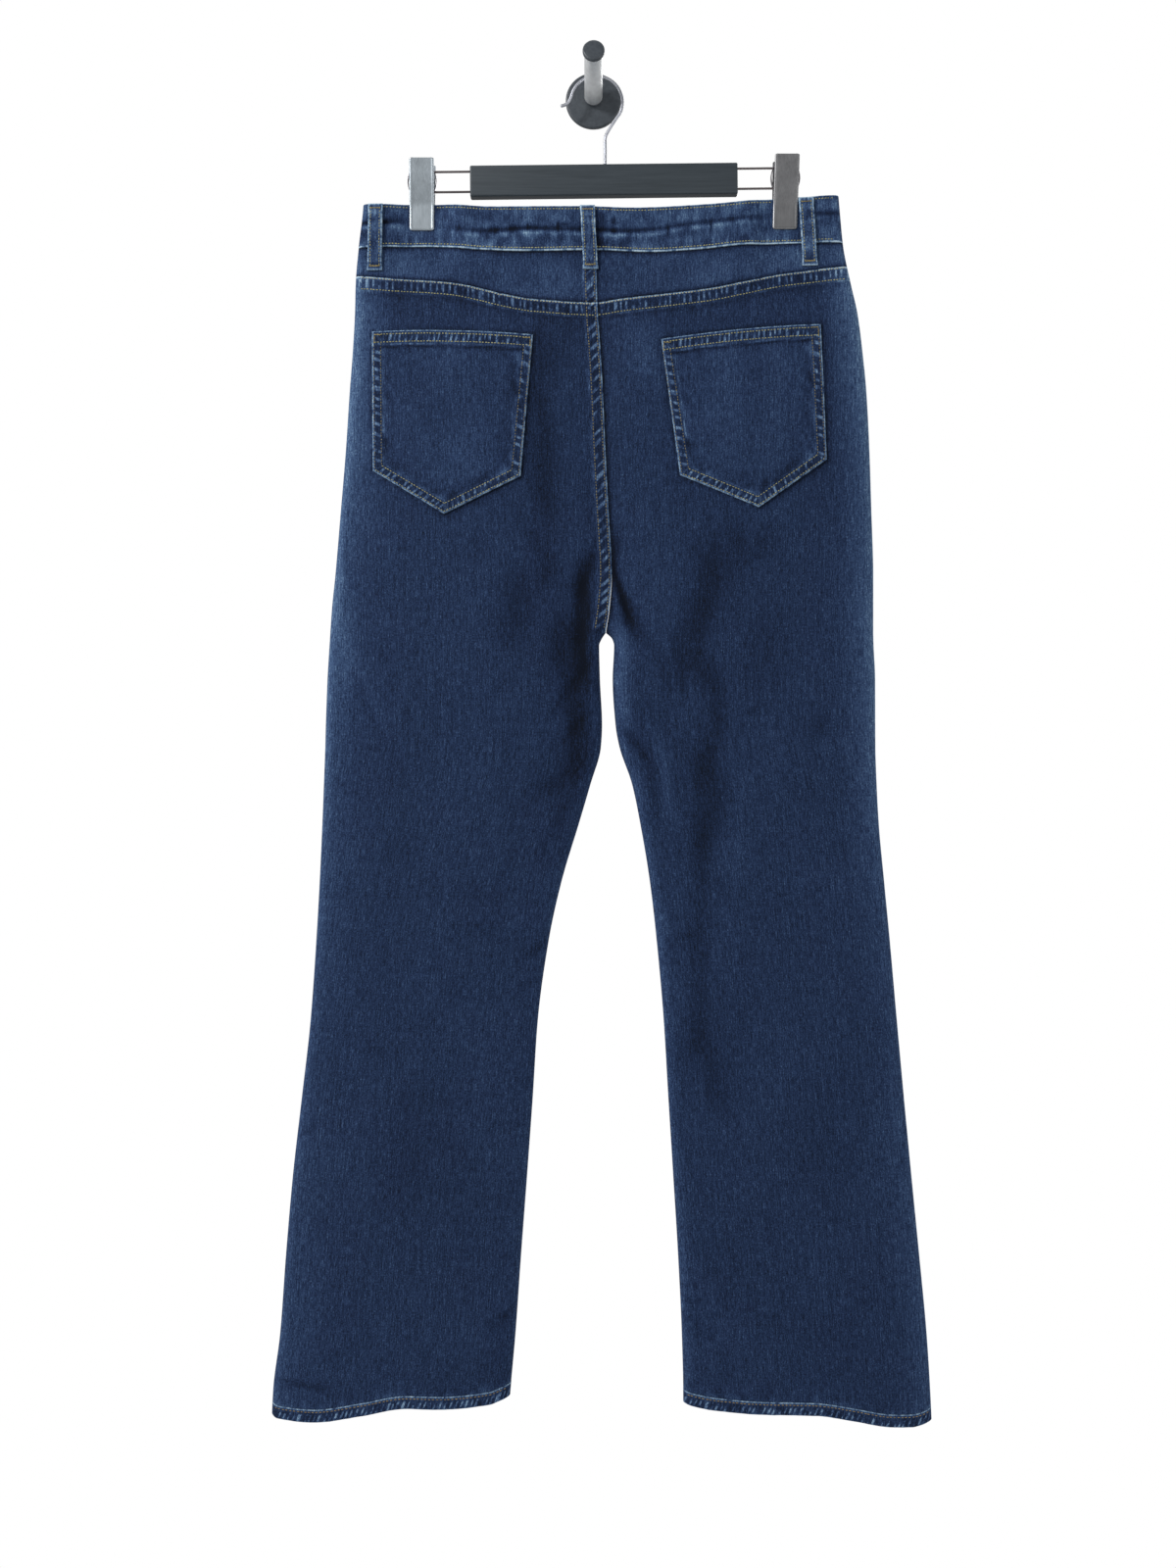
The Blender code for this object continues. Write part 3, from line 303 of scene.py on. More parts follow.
# the waistband's long crease: height as a share of the band from its top, and depth
Crease = namedtuple("Crease", "x share depth")
CREASE = [Crease(-215, 0.46, 1.7), Crease(-190, 0.44, 1.7), Crease(-168, 0.42, 1.2),
          Crease(-140, 0.50, 0.5), Crease(-112, 0.58, 0.6), Crease(-84, 0.55, 1.3),
          Crease(-60, 0.50, 1.5), Crease(-34, 0.52, 1.2), Crease(-6, 0.54, 1.3),
          Crease(24, 0.55, 1.4), Crease(56, 0.50, 1.0), Crease(92, 0.42, 0.9),
          Crease(130, 0.40, 0.9), Crease(160, 0.42, 0.5), Crease(186, 0.40, 0.9),
          Crease(225, 0.40, 1.3)]


# ------------------------------------------------------------ reading a table
def smooth(t):
    t = np.clip(t, 0.0, 1.0)
    return t * t * (3 - 2 * t)


class Curve:
    """Smooth curve through a table's points that never overshoots them."""

    def __init__(self, table, key, name):
        pairs = sorted((float(getattr(row, key)), float(getattr(row, name))) for row in table)
        self.x = np.array([p[0] for p in pairs])
        self.y = np.array([p[1] for p in pairs])
        step = np.diff(self.x)
        rise = np.diff(self.y) / step
        a, b = rise[:-1], rise[1:]
        same = a * b > 0
        self.slope = np.concatenate([[rise[0]], np.where(
            same, 2 * a * b / np.where(same, a + b, 1.0), 0.0), [rise[-1]]])

    def __call__(self, x):
        x = np.clip(np.asarray(x, float), self.x[0], self.x[-1])
        i = np.clip(np.searchsorted(self.x, x) - 1, 0, len(self.x) - 2)
        h = self.x[i + 1] - self.x[i]
        t = (x - self.x[i]) / h
        return ((1 + 2 * t) * (1 - t) ** 2 * self.y[i] + t * (1 - t) ** 2 * h * self.slope[i]
                + t * t * (3 - 2 * t) * self.y[i + 1] + t * t * (t - 1) * h * self.slope[i + 1])


CROTCH_Z = -479.0
SEAT_SECTIONS = [row for row in SECTIONS if row.z >= CROTCH_Z]
LEG_SECTIONS = [row for row in SECTIONS if row.z <= CROTCH_Z]
OUTER = {side: Curve(SECTIONS, "z", side + "_out") for side in ("left", "right")}
SEAT_IN = {side: Curve(SEAT_SECTIONS, "z", side + "_in") for side in ("left", "right")}
LEG_IN = {side: Curve(LEG_SECTIONS, "z", side + "_in") for side in ("left", "right")}
DEPTH = {name: Curve(DEPTHS, "z", name) for name in Depth._fields[1:]}
TOP_EDGE = Curve(WAIST_TOP, "x", "z")
FOOT_EDGE = Curve(WAIST_FOOT, "x", "z")
YOKE_LINE = Curve(YOKE_FOOT, "x", "z")


def YOKE_EDGE(x):
    """Fold of the seam under the yoke, a little above the cut of the yoke itself."""
    return YOKE_LINE(x) + 2.2


HEM_EDGE = {side: Curve(HEM_FOOT[side], "x", "z") for side in ("left", "right")}
CREASE_AT = Curve(CREASE, "x", "share")
CREASE_DEPTH = Curve(CREASE, "x", "depth")

SEED = np.random.default_rng(20240)
LATTICE = SEED.random((128, 128)) * 2 - 1


def noise(x, z, scale, seed=0, stretch=1.0):
    """Smooth noise from -1 to 1 with features about scale wide and scale * stretch tall."""
    u = np.asarray(x, float) / scale + 17.37 * seed + 400
    v = np.asarray(z, float) / (scale * stretch) + 9.71 * seed + 900
    i, j = np.floor(u).astype(int), np.floor(v).astype(int)
    a, b = smooth(u - i), smooth(v - j)
    i, j = i % 128, j % 128
    k, m = (i + 1) % 128, (j + 1) % 128
    return ((LATTICE[i, j] * (1 - a) + LATTICE[k, j] * a) * (1 - b)
            + (LATTICE[i, m] * (1 - a) + LATTICE[k, m] * a) * b)


# ------------------------------------------------------------ shape of a sheet
def sign_of(side):
    return -1.0 if side == "left" else 1.0


def outer_edge(side, z):
    return OUTER[side](z)


def inner_edge(side, z):
    z = np.asarray(z, float)
    return np.where(z >= CROTCH_Z, SEAT_IN[side](z), LEG_IN[side](z))


GAP_HEIGHTS = np.concatenate([np.arange(-1190, -640, 25.0), np.arange(-640, -500, 7.0),
                              [-498, -494, -490.5, -487, -484, -481.5, -479]])
GAP_LINE = [(float(inner_edge("left", z)), float(z)) for z in GAP_HEIGHTS]
GAP_LINE += [(float(inner_edge("right", z)), float(z)) for z in GAP_HEIGHTS[::-1][1:]]


def to_gap(x, z):
    best = np.full(np.shape(x), 1e9)
    for (ax, az), (bx, bz) in zip(GAP_LINE, GAP_LINE[1:]):
        ux, uz = bx - ax, bz - az
        t = np.clip(((x - ax) * ux + (z - az) * uz) / (ux * ux + uz * uz), 0.0, 1.0)
        best = np.minimum(best, np.hypot(x - ax - t * ux, z - az - t * uz))
    return best


def rounded(distance, radius):
    t = 1 - np.clip(distance / radius, 0.0, 1.0)
    return np.sqrt(np.maximum(0.0, 1 - t * t))


def pinch(x, z):
    near = np.zeros(np.shape(x))
    for clip_x in (CLIP_LEFT_X, CLIP_RIGHT_X):
        near = np.maximum(near, smooth((36 - np.abs(x - clip_x)) / 24))
    return near * smooth((z + 176) / 44)


def fold_sum(folds, sheet, x, z, what="depth"):
    total = np.zeros(np.shape(x))
    for f in folds:
        if f.sheet != sheet:
            continue
        ux, uz = f.x1 - f.x0, f.z1 - f.z0
        length = math.hypot(ux, uz)
        reach = min(22.0, 0.5 * length)
        along = ((x - f.x0) * ux + (z - f.z0) * uz) / length
        away = ((x - f.x0) * uz - (z - f.z0) * ux) / length
        # a finer fold wanders a little off its straight line
        if folds is FINE_FOLDS:
            away = away + 0.45 * f.width * noise(along, away * 0, 38.0, f.x0 * 0.013)
        ends = smooth((along + reach) / (2 * reach)) * smooth((length + reach - along) / (2 * reach))
        total += getattr(f, what) * ends * np.exp(-(away / f.width) ** 2)
    return total


def lumps(sheet, x, z):
    """Soft unevenness of hanging denim, a millimetre or less."""
    seed = 3 if sheet == "back" else 8
    calm = smooth((-150 - z) / 60)
    return calm * (0.95 * noise(x, z, 62.0, seed, 2.4) + 0.42 * noise(x, z, 27.0, seed + 1, 1.9)
                   + 0.16 * noise(x, z, 12.0, seed + 2, 1.4))


def shade_of(sheet, x, z):
    """How deep in a fold a point is, 0 to 1: painted shade darkens the cloth there, and a painted highlight
    lightens it on ridges.
    """
    deep = fold_sum(FOLDS, sheet, x, z) * 0.05 + fold_sum(FINE_FOLDS, sheet, x, z, "shade")
    return np.clip(deep, -0.7, 2.1)


def depth(sheet, side, x, z, inset=0.0):
    """Distance of the sheet's outer face from the hanging plane."""
    sign = sign_of(side)
    inner, outer = inner_edge(side, z), outer_edge(side, z)
    q = np.clip((x - inner) / (outer - inner), 0.0, 1.0)
    at_in, at_mid, at_out = (DEPTH[f"{sheet}_{place}"](z) for place in ("in", "mid", "out"))
    main = at_in * (1 - q) * (1 - 2 * q) + 4 * at_mid * q * (1 - q) + at_out * q * (2 * q - 1)
    hold = pinch(x, z)
    main = main * (1 - hold) + CLIP_PINCH_DEPTH * hold
    main = main - 0.6 * fold_sum(FOLDS, sheet, x, z) - (1 - hold) * fold_sum(FINE_FOLDS, sheet, x, z)
    main = main + (1 - hold) * lumps(sheet, x, z)
    main = np.maximum(main - inset, 0.2)
    near_out = (outer - x) * sign - inset
    near_gap = np.maximum(to_gap(x, z) - inset, 0.0)
    return (main * rounded(near_out, DEPTH["cap_out"](z)) * rounded(near_gap, DEPTH["cap_in"](z)))


def place(sheet, side, x, z, inset=0.0, lift=0.0):
    """Points of a sheet in millimetres: its outer face, moved in by inset or out by lift."""
    away = depth(sheet, side, x, z, inset) + SEAM_GAP / 2 + lift
    y = HANG_Y + (away if sheet == "front" else -away)
    return np.stack([x + 0 * y, y, z + 0 * y], -1)


def closed_edge(z):
    return smooth((-473.0 - z) / 11.0)


def waist_edge(curve, sheet, x):
    z = curve(x)
    if sheet == "front":
        u = np.minimum(np.abs(x - 6) / 208, 1.0)
        z = z - FRONT_DIP * (1 - u * u) ** 2
    return z


def waist_foot(sheet, x):
    return waist_edge(FOOT_EDGE, sheet, x)


def waist_top(sheet, x):
    return waist_edge(TOP_EDGE, sheet, x)


# ------------------------------------------------------- relief of each piece
def ridge(d, width, height, soft=1.1, start=0.45):
    """Raised band from an edge, where it starts part way up, to a soft inner shoulder."""
    rise = start + (1 - start) * rounded(d, soft)
    return height * rise * smooth((width + 0.8 - d) / 1.6) * (d >= -0.01)


def rope(run, across, seed, period=7.5):
    """Uneven diagonal puckers that a felled seam draws up, -1 to 1."""
    return noise(run + 0.55 * across, across * 0.35, period * 0.62, seed)


def seat_distance(x, z):
    """Distance to the left of the seat seam's edge."""
    return SEAT_IN["left"](z) - x


def seat_band(x, z):
    d = seat_distance(x, z)
    fade = smooth((z + 482) / 8)
    body = ridge(d, SEAT_BAND, BAND_RISE, 1.0, 0.5)
    inside = (d > 0) * smooth((SEAT_BAND - d) / 2) * smooth(d / 1.5)
    return fade * (body + 0.26 * inside * rope(z, d, 5, 9.5))


def panel_lift(sheet, side, x, z):
    """Relief of a leg panel's outer face."""
    if sheet == "back":
        d = YOKE_EDGE(x) - z
        body = ridge(d, YOKE_BAND, BAND_RISE, 1.0, 0.55)
        inside = smooth((YOKE_BAND - d) / 2) * smooth(d / 1.5)
        out = body + 0.2 * inside * rope(x, d, 6, 6.5)
        # a slight gather just under the seam, as the stitches draw it up
        out = out + 0.18 * smooth((d - YOKE_BAND) / 2) * smooth((30 - d) / 18) * noise(x, z, 6.0, 12, 4.0)
        if side == "left":
            out = np.maximum(out, seat_band(x, z))
            d2 = seat_distance(x, z)
            out = out + 0.25 * smooth((d2 - SEAT_BAND) / 2) * smooth((30 - d2) / 16) * noise(
                x, z, 9.0, 13, 0.9) * smooth((z + 482) / 8)
    else:
        out = np.zeros(np.shape(x))
        if side == "left":
            # the fly's edge and its double stitching press the panel a little
            d2 = SEAT_IN["left"](z) - x
            inside = smooth((z + 330) / 20)
            out = out + inside * 0.5 * smooth((FLY_WIDTH - 2 - d2) / 2) * smooth(d2 / 1.5)
            below = 1 - inside
            out = out + below * ridge(d2, 8.0, 0.6) * smooth((z + 482) / 8)
    # puckers just above the hem
    up = z - (HEM_EDGE[side](x) + HEM_HEIGHT)
    out = out + 0.22 * smooth((26 - up) / 22) * noise(x, z, 7.0, 14, 3.0)
    return out * rounded((outer_edge(side, z) - x) * sign_of(side), 6.0)


def yoke_lift(sheet, side, x, z):
    out = 0.12 * noise(x, z, 9.0, 22, 2.2)
    if side == "left":
        out = out + seat_band(x, z)
    d = z - YOKE_EDGE(x)
    out = out - 0.25 * smooth((3.0 - d) / 3.0)
    return out * rounded((outer_edge(side, z) - x) * sign_of(side), 6.0)


def band_share(sheet, x, z):
    top, foot = waist_top(sheet, x), waist_foot(sheet, x)
    return (top - z) / (top - foot)


def waistband_lift(sheet, side, x, z):
    """Relief of the waistband: rounded folds, a long crease, puckers, a seam at its foot."""
    v = band_share(sheet, x, z)
    hold = pinch(x, np.full(np.shape(x), -120.0))
    down, up = v * 40.0, (1 - v) * 40.0            # mm from the top and from the foot
    out = 0.9 * (1 - hold) + 0.15
    shift = 0.0 if sheet == "back" else 60.0
    where = CREASE_AT(x + shift) + 0.03 * noise(x, 0 * x, 16.0, 31)
    deep = CREASE_DEPTH(x + shift) * (1 - 0.75 * hold) * (0.8 + 0.35 * noise(x, 0 * x, 22.0, 32))
    gap = (v - where) * 40
    out = out - deep * np.exp(-(gap / np.where(gap > 0, 1.5, 2.6)) ** 2)
    out = out + (1 - hold) * 0.45 * np.exp(-((gap - 5.0) / 3.4) ** 2)
    window = smooth((v - where) * 6) * smooth((0.97 - v) * 9)
    out = out + (1 - hold) * 0.42 * window * noise(x, z, 6.2, 33, 2.6)
    out = out + (1 - hold) * 0.2 * noise(x, z, 15.0, 34, 1.5) * smooth(down / 6)
    out = out - 0.22 * np.exp(-((up - 2.7) / 0.8) ** 2) - 0.18 * np.exp(-((down - 2.6) / 0.8) ** 2)
    out = out + 0.22 * np.exp(-((up - 0.9) / 0.8) ** 2)
    limit = 0.32 + 2.6 * (1 - hold)
    out = np.minimum(out, limit)
    out = out - 0.85 * (1 - rounded(down, 1.5)) - 0.35 * (1 - rounded(up, 0.8))
    return out


def pocket_distances(p, x, z):
    """Distance from each edge of a pocket, inwards, and how far along it."""
    corners = [p.top_left, p.top_right, p.foot_right, p.tip, p.foot_left]
    found = []
    for a, b in zip(corners, corners[1:] + corners[:1]):
        ux, uz = b[0] - a[0], b[1] - a[1]
        length = math.hypot(ux, uz)
        away = (ux * (z - a[1]) - uz * (x - a[0])) / length
        along = ((x - a[0]) * ux + (z - a[1]) * uz) / length
        found.append((-away, along))
    return found                                   # top, right, low right, low left, left


def pocket_outside(p, x, z):
    """Distance outside a pocket's outline, all round and on its right and lower side."""
    edges = pocket_distances(p, x, z - pocket_crown(p, x) * smooth(1 - (p.top_left[1] - z) / 60))
    out = np.maximum.reduce([-e[0] for e in edges])
    shadow = np.maximum.reduce([-e[0] for e in edges[1:3]])
    beyond = np.maximum.reduce([-e[0] for e in (edges[0], edges[3], edges[4])])
    all_round = np.where(out > -0.5, np.maximum(out, 0), 60.0)
    cast = np.where((shadow > -0.5) & (beyond < 4), np.maximum(shadow, 0), 60.0)
    return all_round, cast


def pocket_crown(p, x):
    """The top edge bows up a little between its corners."""
    u = np.clip((x - p.top_left[0]) / (p.top_right[0] - p.top_left[0]), 0, 1)
    return 4.2 * u * (1 - u) * 1.9


def pocket_lift(p, x, z):
    edges = pocket_distances(p, x, z - pocket_crown(p, x) * smooth(1 - (p.top_left[1] - z) / 60))
    top = edges[0][0]
    rest = np.minimum.reduce([e[0] for e in edges[1:]])
    near = np.minimum(top, rest)
    seed = 41 if p.side == "left" else 47
    out = 0.55 + 1.25 * rounded(near, 1.5)
    out = out + 0.5 * (1 - smooth((rest - 7.8) / 1.8))
    out = np.maximum(out, 0.55 + 1.25 * rounded(near, 1.5) + 0.6 * (1 - smooth((top - 11.6) / 1.0)))
    run = np.where(top < rest, x, z)
    strip = smooth((9.5 - rest) / 2) * smooth(rest / 1.2)
    out = out + 0.3 * strip * noise(run, rest * 0.4, 4.6, seed)
    out = out + 0.55 * smooth((rest - 10) / 30) * smooth((top - 12) / 24)
    out = out + 0.22 * smooth((rest - 6) / 8) * noise(x, z, 16.0, seed + 1, 1.6)
    out = out - 0.2 * np.exp(-((near - 1.7) / 0.7) ** 2) - 0.2 * np.exp(-((rest - 7.9) / 0.8) ** 2)
    return out


def hem_lift(sheet, side, x, z):
    """Turned hem: a rounded tube with puckers leaning across it."""
    up = z - HEM_EDGE[side](x)
    down = HEM_HEIGHT - up
    body = 0.75 * (0.5 + 0.5 * rounded(down, 0.9)) - 0.6 * (1 - rounded(up, 1.6))
    folds = 0.36 * smooth((down - 1.5) / 3) * noise(x + 0.5 * up, up * 0.3, 4.4, 51)
    return (body + folds - 0.22 * np.exp(-((down - 2.5) / 0.7) ** 2)) * rounded(
        (outer_edge(side, z) - x) * sign_of(side), 5.0)


# ----------------------------------------------------------------- mesh making
def link(name, mesh):
    obj = bpy.data.objects.new(name, mesh)
    bpy.context.scene.collection.objects.link(obj)
    return obj


def mesh_from(name, points, quads, triangles=None):
    """Mesh from an array of points in millimetres and index arrays."""
    mesh = bpy.data.meshes.new(name)
    mesh.vertices.add(len(points))
    mesh.vertices.foreach_set("co", (np.asarray(points, np.float32) * MM).ravel())
    sizes = [4] * len(quads)
    loops = np.asarray(quads, np.int32).ravel()
    if triangles is not None and len(triangles):
        loops = np.concatenate([loops, np.asarray(triangles, np.int32).ravel()])
        sizes += [3] * len(triangles)
    starts = np.concatenate([[0], np.cumsum(sizes)[:-1]])
    mesh.loops.add(len(loops))
    mesh.loops.foreach_set("vertex_index", loops)
    mesh.polygons.add(len(sizes))
    mesh.polygons.foreach_set("loop_start", starts.astype(np.int32))
    mesh.polygons.foreach_set("loop_total", np.asarray(sizes, np.int32))
    mesh.update(calc_edges=True)
    mesh.validate()
    return mesh


def set_looks(mesh, looks):
    for key, values in looks.items():
        layer = mesh.attributes.new(key, "FLOAT_VECTOR", "POINT")
        layer.data.foreach_set("vector", np.asarray(values, np.float32).ravel())


def looks_of(shape, grain, feat=None, feat2=None, wear_and_highlight=0.0, shade=0.0, inside=0.0):
    """Attributes that the cloth's material reads, each three numbers a point."""
    full = lambda v: np.broadcast_to(np.asarray(v, float), shape)
    none = (60.0, -2.0, 0.0)
    pack = lambda three: np.stack([full(v) for v in three], -1)
    return {"grain": pack(grain), "feat": pack(feat or none), "feat2": pack(feat2 or none),
            "tone": pack((wear_and_highlight, shade, inside))}


def shell(name, outer, inner, looks_out, looks_in, mat, closed=False):
    """Cloth between two faces given as grids of points, with square rims."""
    rows, count = outer.shape[:2]
    points = np.concatenate([outer.reshape(-1, 3), inner.reshape(-1, 3)])
    shift = rows * count
    r = np.arange(rows - 1)[:, None]
    c = np.arange(count if closed else count - 1)[None, :]
    d = (c + 1) % count
    a = np.stack([r * count + c, r * count + d, (r + 1) * count + d, (r + 1) * count + c],
                 -1).reshape(-1, 4)
    faces = [a, a[:, ::-1] + shift]
    c, d = c[0], d[0]
    faces.append(np.stack([d, c, c + shift, d + shift], -1))
    low = (rows - 1) * count
    faces.append(np.stack([low + c, low + d, low + d + shift, low + c + shift], -1))
    if not closed:
        k = np.arange(rows - 1) * count
        faces.append(np.stack([k, k + count, k + count + shift, k + shift], -1))
        k = k + count - 1
        faces.append(np.stack([k + count, k, k + shift, k + count + shift], -1))
    faces = np.concatenate(faces)
    tri = np.concatenate([faces[:, [0, 1, 2]], faces[:, [0, 2, 3]]])
    p = points[tri]
    volume = np.einsum("ij,ij->i", p[:, 0], np.cross(p[:, 1], p[:, 2])).sum()
    if volume < 0:
        faces = faces[:, ::-1]
    mesh = mesh_from(name, points, faces)
    set_looks(mesh, {k: np.concatenate([looks_out[k].reshape(-1, 3), looks_in[k].reshape(-1, 3)])
                     for k in looks_out})
    mesh.shade_smooth()
    mesh.set_sharp_from_angle(angle=math.radians(55))
    mesh.materials.append(mat)
    obj = link(name + "_cloth", mesh)
    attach(obj, "root")
    area = np.linalg.norm(np.cross(p[:, 1] - p[:, 0], p[:, 2] - p[:, 0]), axis=1).sum() / 2e6
    print(f"{name}: {2 * len(faces)} triangles, {area / 2:.4f} m2 a face")
    return obj


# ------------------------------------------------------------------- materials
class Nodes:
    """Short names for building a material's nodes."""

    def __init__(self, name):
        self.mat = bpy.data.materials.new(name)
        self.mat.use_nodes = True
        self.tree = self.mat.node_tree
        self.shader = self.tree.nodes["Principled BSDF"]
        self.out = self.tree.nodes["Material Output"]

    def new(self, kind, **props):
        node = self.tree.nodes.new(kind)
        for key, value in props.items():
            setattr(node, key, value)
        return node

    def put(self, value, socket):
        if isinstance(value, bpy.types.NodeSocket):
            self.tree.links.new(value, socket)
        else:
            socket.default_value = value

    def math(self, op, a, b=0.0, c=0.0, clamp=False):
        node = self.new("ShaderNodeMath", operation=op, use_clamp=clamp)
        for value, socket in zip((a, b, c), node.inputs):
            self.put(value, socket)
        return node.outputs[0]

    def add(self, *terms):
        total = terms[0]
        for term in terms[1:]:
            total = self.math("ADD", total, term)
        return total

    def times(self, a, b):
        return self.math("MULTIPLY", a, b)

    def about(self, value, amount, middle=0.5):
        """(value - middle) * amount"""
        return self.math("MULTIPLY", self.math("SUBTRACT", value, middle), amount)

    def step(self, value, low, high):
        """0 below low, 1 above high, smooth between (low may exceed high)."""
        node = self.new("ShaderNodeMapRange", interpolation_type="SMOOTHSTEP")
        self.put(value, node.inputs["Value"])
        flip = low > high
        node.inputs["From Min"].default_value = high if flip else low
        node.inputs["From Max"].default_value = low if flip else high
        node.inputs["To Min"].default_value = 1.0 if flip else 0.0
        node.inputs["To Max"].default_value = 0.0 if flip else 1.0
        return node.outputs["Result"]

    def attribute(self, name):
        return self.new("ShaderNodeAttribute", attribute_name=name).outputs["Vector"]

    def split(self, vector):
        node = self.new("ShaderNodeSeparateXYZ")
        self.put(vector, node.inputs[0])
        return node.outputs

    def join(self, x, y, z=0.0):
        node = self.new("ShaderNodeCombineXYZ")
        for value, socket in zip((x, y, z), node.inputs):
            self.put(value, socket)
        return node.outputs[0]

    def scaled(self, vector, factors):
        node = self.new("ShaderNodeVectorMath", operation="MULTIPLY")
        self.put(vector, node.inputs[0])
        node.inputs[1].default_value = factors
        return node.outputs[0]

    def noise(self, vector, detail=2.0, rough=0.5, scale=1.0, distortion=0.0):
        node = self.new("ShaderNodeTexNoise")
        self.put(vector, node.inputs["Vector"])
        node.inputs["Scale"].default_value = scale
        node.inputs["Detail"].default_value = detail
        node.inputs["Roughness"].default_value = rough
        node.inputs["Distortion"].default_value = distortion
        return node.outputs[0]

    def ramp(self, value, stops, linear=True):
        node = self.new("ShaderNodeValToRGB")
        ramp = node.color_ramp
        ramp.interpolation = "LINEAR" if linear else "EASE"
        while len(ramp.elements) < len(stops):
            ramp.elements.new(0.5)
        for element, (at, colour) in zip(ramp.elements, stops):
            element.position = at
            element.color = (*colour, 1)
        self.put(value, node.inputs[0])
        return node.outputs[0]

    def mix(self, amount, a, b, blend="MIX"):
        node = self.new("ShaderNodeMix", data_type="RGBA", blend_type=blend)
        self.put(amount, node.inputs["Factor"])
        sockets = [s for s in node.inputs if s.type == "RGBA"]
        self.put(a if isinstance(a, bpy.types.NodeSocket) else (*a, 1), sockets[0])
        self.put(b if isinstance(b, bpy.types.NodeSocket) else (*b, 1), sockets[1])
        return [s for s in node.outputs if s.type == "RGBA"][0]

    def bump(self, height, strength, distance):
        node = self.new("ShaderNodeBump")
        self.put(height, node.inputs["Height"])
        node.inputs["Strength"].default_value = strength
        node.inputs["Distance"].default_value = distance
        self.tree.links.new(node.outputs[0], self.shader.inputs["Normal"])

    def set(self, **values):
        for key, value in values.items():
            self.put(value, self.shader.inputs[key.replace("_", " ")])


def denim_material():
    """Warp-faced indigo twill: short streaks along the warp, worn edges, roping on seams, and painted shade and
    painted rim highlight from the tone attribute.
    """
    n = Nodes("indigo_denim")
    grain = n.attribute("grain")
    edge, band, run = n.split(n.attribute("feat"))
    edge2, band2, run2 = n.split(n.attribute("feat2"))
    wear_and_highlight, shade, inside = n.split(n.attribute("tone"))

    yarn = n.noise(n.scaled(grain, (1 / 0.80, 1 / 6.5, 1)), 2.0, 0.66)
    slub = n.noise(n.scaled(grain, (1 / 1.3, 1 / 30, 1)), 3.0, 0.66)
    speck = n.noise(n.scaled(grain, (1 / 1.0, 1 / 1.5, 1)), 2.0, 0.62)
    cloud = n.noise(n.scaled(grain, (1 / 8, 1 / 22, 1)), 3.0, 0.6)
    cast = n.noise(n.scaled(grain, (1 / 70, 1 / 130, 1)), 2.0, 0.5)

    level = n.add(0.275, n.about(yarn, 0.68), n.about(slub, 0.40), n.about(speck, 0.66),
                  n.about(cloud, 0.07), n.about(cast, 0.10))
    level = n.add(level, n.times(n.step(speck, 0.66, 0.78), 0.14))
    warp = n.noise(n.scaled(grain, (1 / 0.9, 1 / 160, 1)), 2.0, 0.7)
    level = n.add(level, n.about(warp, 0.20))
    # wear and a painted rim highlight lighten the cloth; painted shade darkens it
    level = n.add(level, n.times(wear_and_highlight, 0.34), n.times(shade, -0.20))

    # run counts the puckers of a seam, one a cycle
    for line, across, along in ((edge, band, run), (edge2, band2, run2)):
        # light worn line on a folded edge, broken here and there
        broken = n.noise(n.join(n.times(along, 0.9), n.times(across, 0.4), 3.0), 3.0, 0.6)
        close = n.step(line, 1.8, 0.6)
        level = n.add(level, n.times(n.times(close, n.step(broken, 0.28, 0.60)), 0.50))
        # puckers between the two rows of stitches: worn ridges on unworn cloth
        drift = n.noise(n.join(n.times(along, 0.45), 5.0, 0.0), 2.0, 0.5)
        wave = n.math("SINE", n.times(n.add(along, n.times(drift, 1.9)), 6.2832))
        some = n.noise(n.join(n.times(along, 0.8), n.times(across, 1.5), 9.0), 2.0, 0.6)
        ticks = n.times(n.step(wave, -0.10, 0.85), n.step(some, 0.34, 0.60))
        within = n.times(n.step(across, 0.10, 0.30), n.step(across, 0.90, 0.72))
        level = n.add(level, n.times(within, n.add(n.times(ticks, 0.42), -0.10)))
        # a thin light line just past the lower row, and patches beside it
        past = n.times(n.step(across, 0.93, 1.0), n.step(across, 1.12, 1.04))
        level = n.add(level, n.times(n.times(past, n.step(broken, 0.40, 0.70)), 0.22))
        beside = n.times(n.step(across, 1.08, 1.25), n.step(across, 2.4, 1.2))
        level = n.add(level, n.times(beside, n.about(some, 0.30, 0.55)))

    face = n.ramp(level, [(0.0, (0.0020, 0.0040, 0.0100)), (0.20, (0.0066, 0.0146, 0.0410)),
                          (0.36, (0.0165, 0.0330, 0.0830)), (0.55, (0.0460, 0.0850, 0.1700)),
                          (0.78, (0.1500, 0.2400, 0.3500)), (1.0, (0.3600, 0.4700, 0.5600))])
    # the weft side, seen inside: pale with indigo flecks
    weft = n.noise(n.scaled(grain, (1 / 1.6, 1 / 0.9, 1)), 2.0, 0.6)
    back = n.ramp(n.add(weft, n.about(cloud, 0.3)), [
        (0.30, (0.050, 0.075, 0.125)), (0.52, (0.135, 0.175, 0.235)), (0.75, (0.26, 0.30, 0.36))])
    n.set(Base_Color=n.mix(inside, face, back))

    # twill ribs lean across the warp; slubs stand up
    u, v, _ = n.split(grain)
    rib = n.math("SINE", n.times(n.add(u, n.times(v, -0.62)), 6.2832 / 0.95))
    height = n.add(n.times(rib, 0.10), n.about(yarn, 0.55), n.about(speck, 0.50), n.about(slub, 0.5))
    n.bump(height, 0.6, 0.0006)
    rough = n.add(0.84, n.about(speck, 0.16))
    n.set(Roughness=rough)
    n.set(Specular_IOR_Level=0.10, Sheen_Weight=0.08, Sheen_Roughness=0.4)
    n.shader.inputs["Sheen Tint"].default_value = (0.45, 0.58, 0.80, 1)
    return n.mat


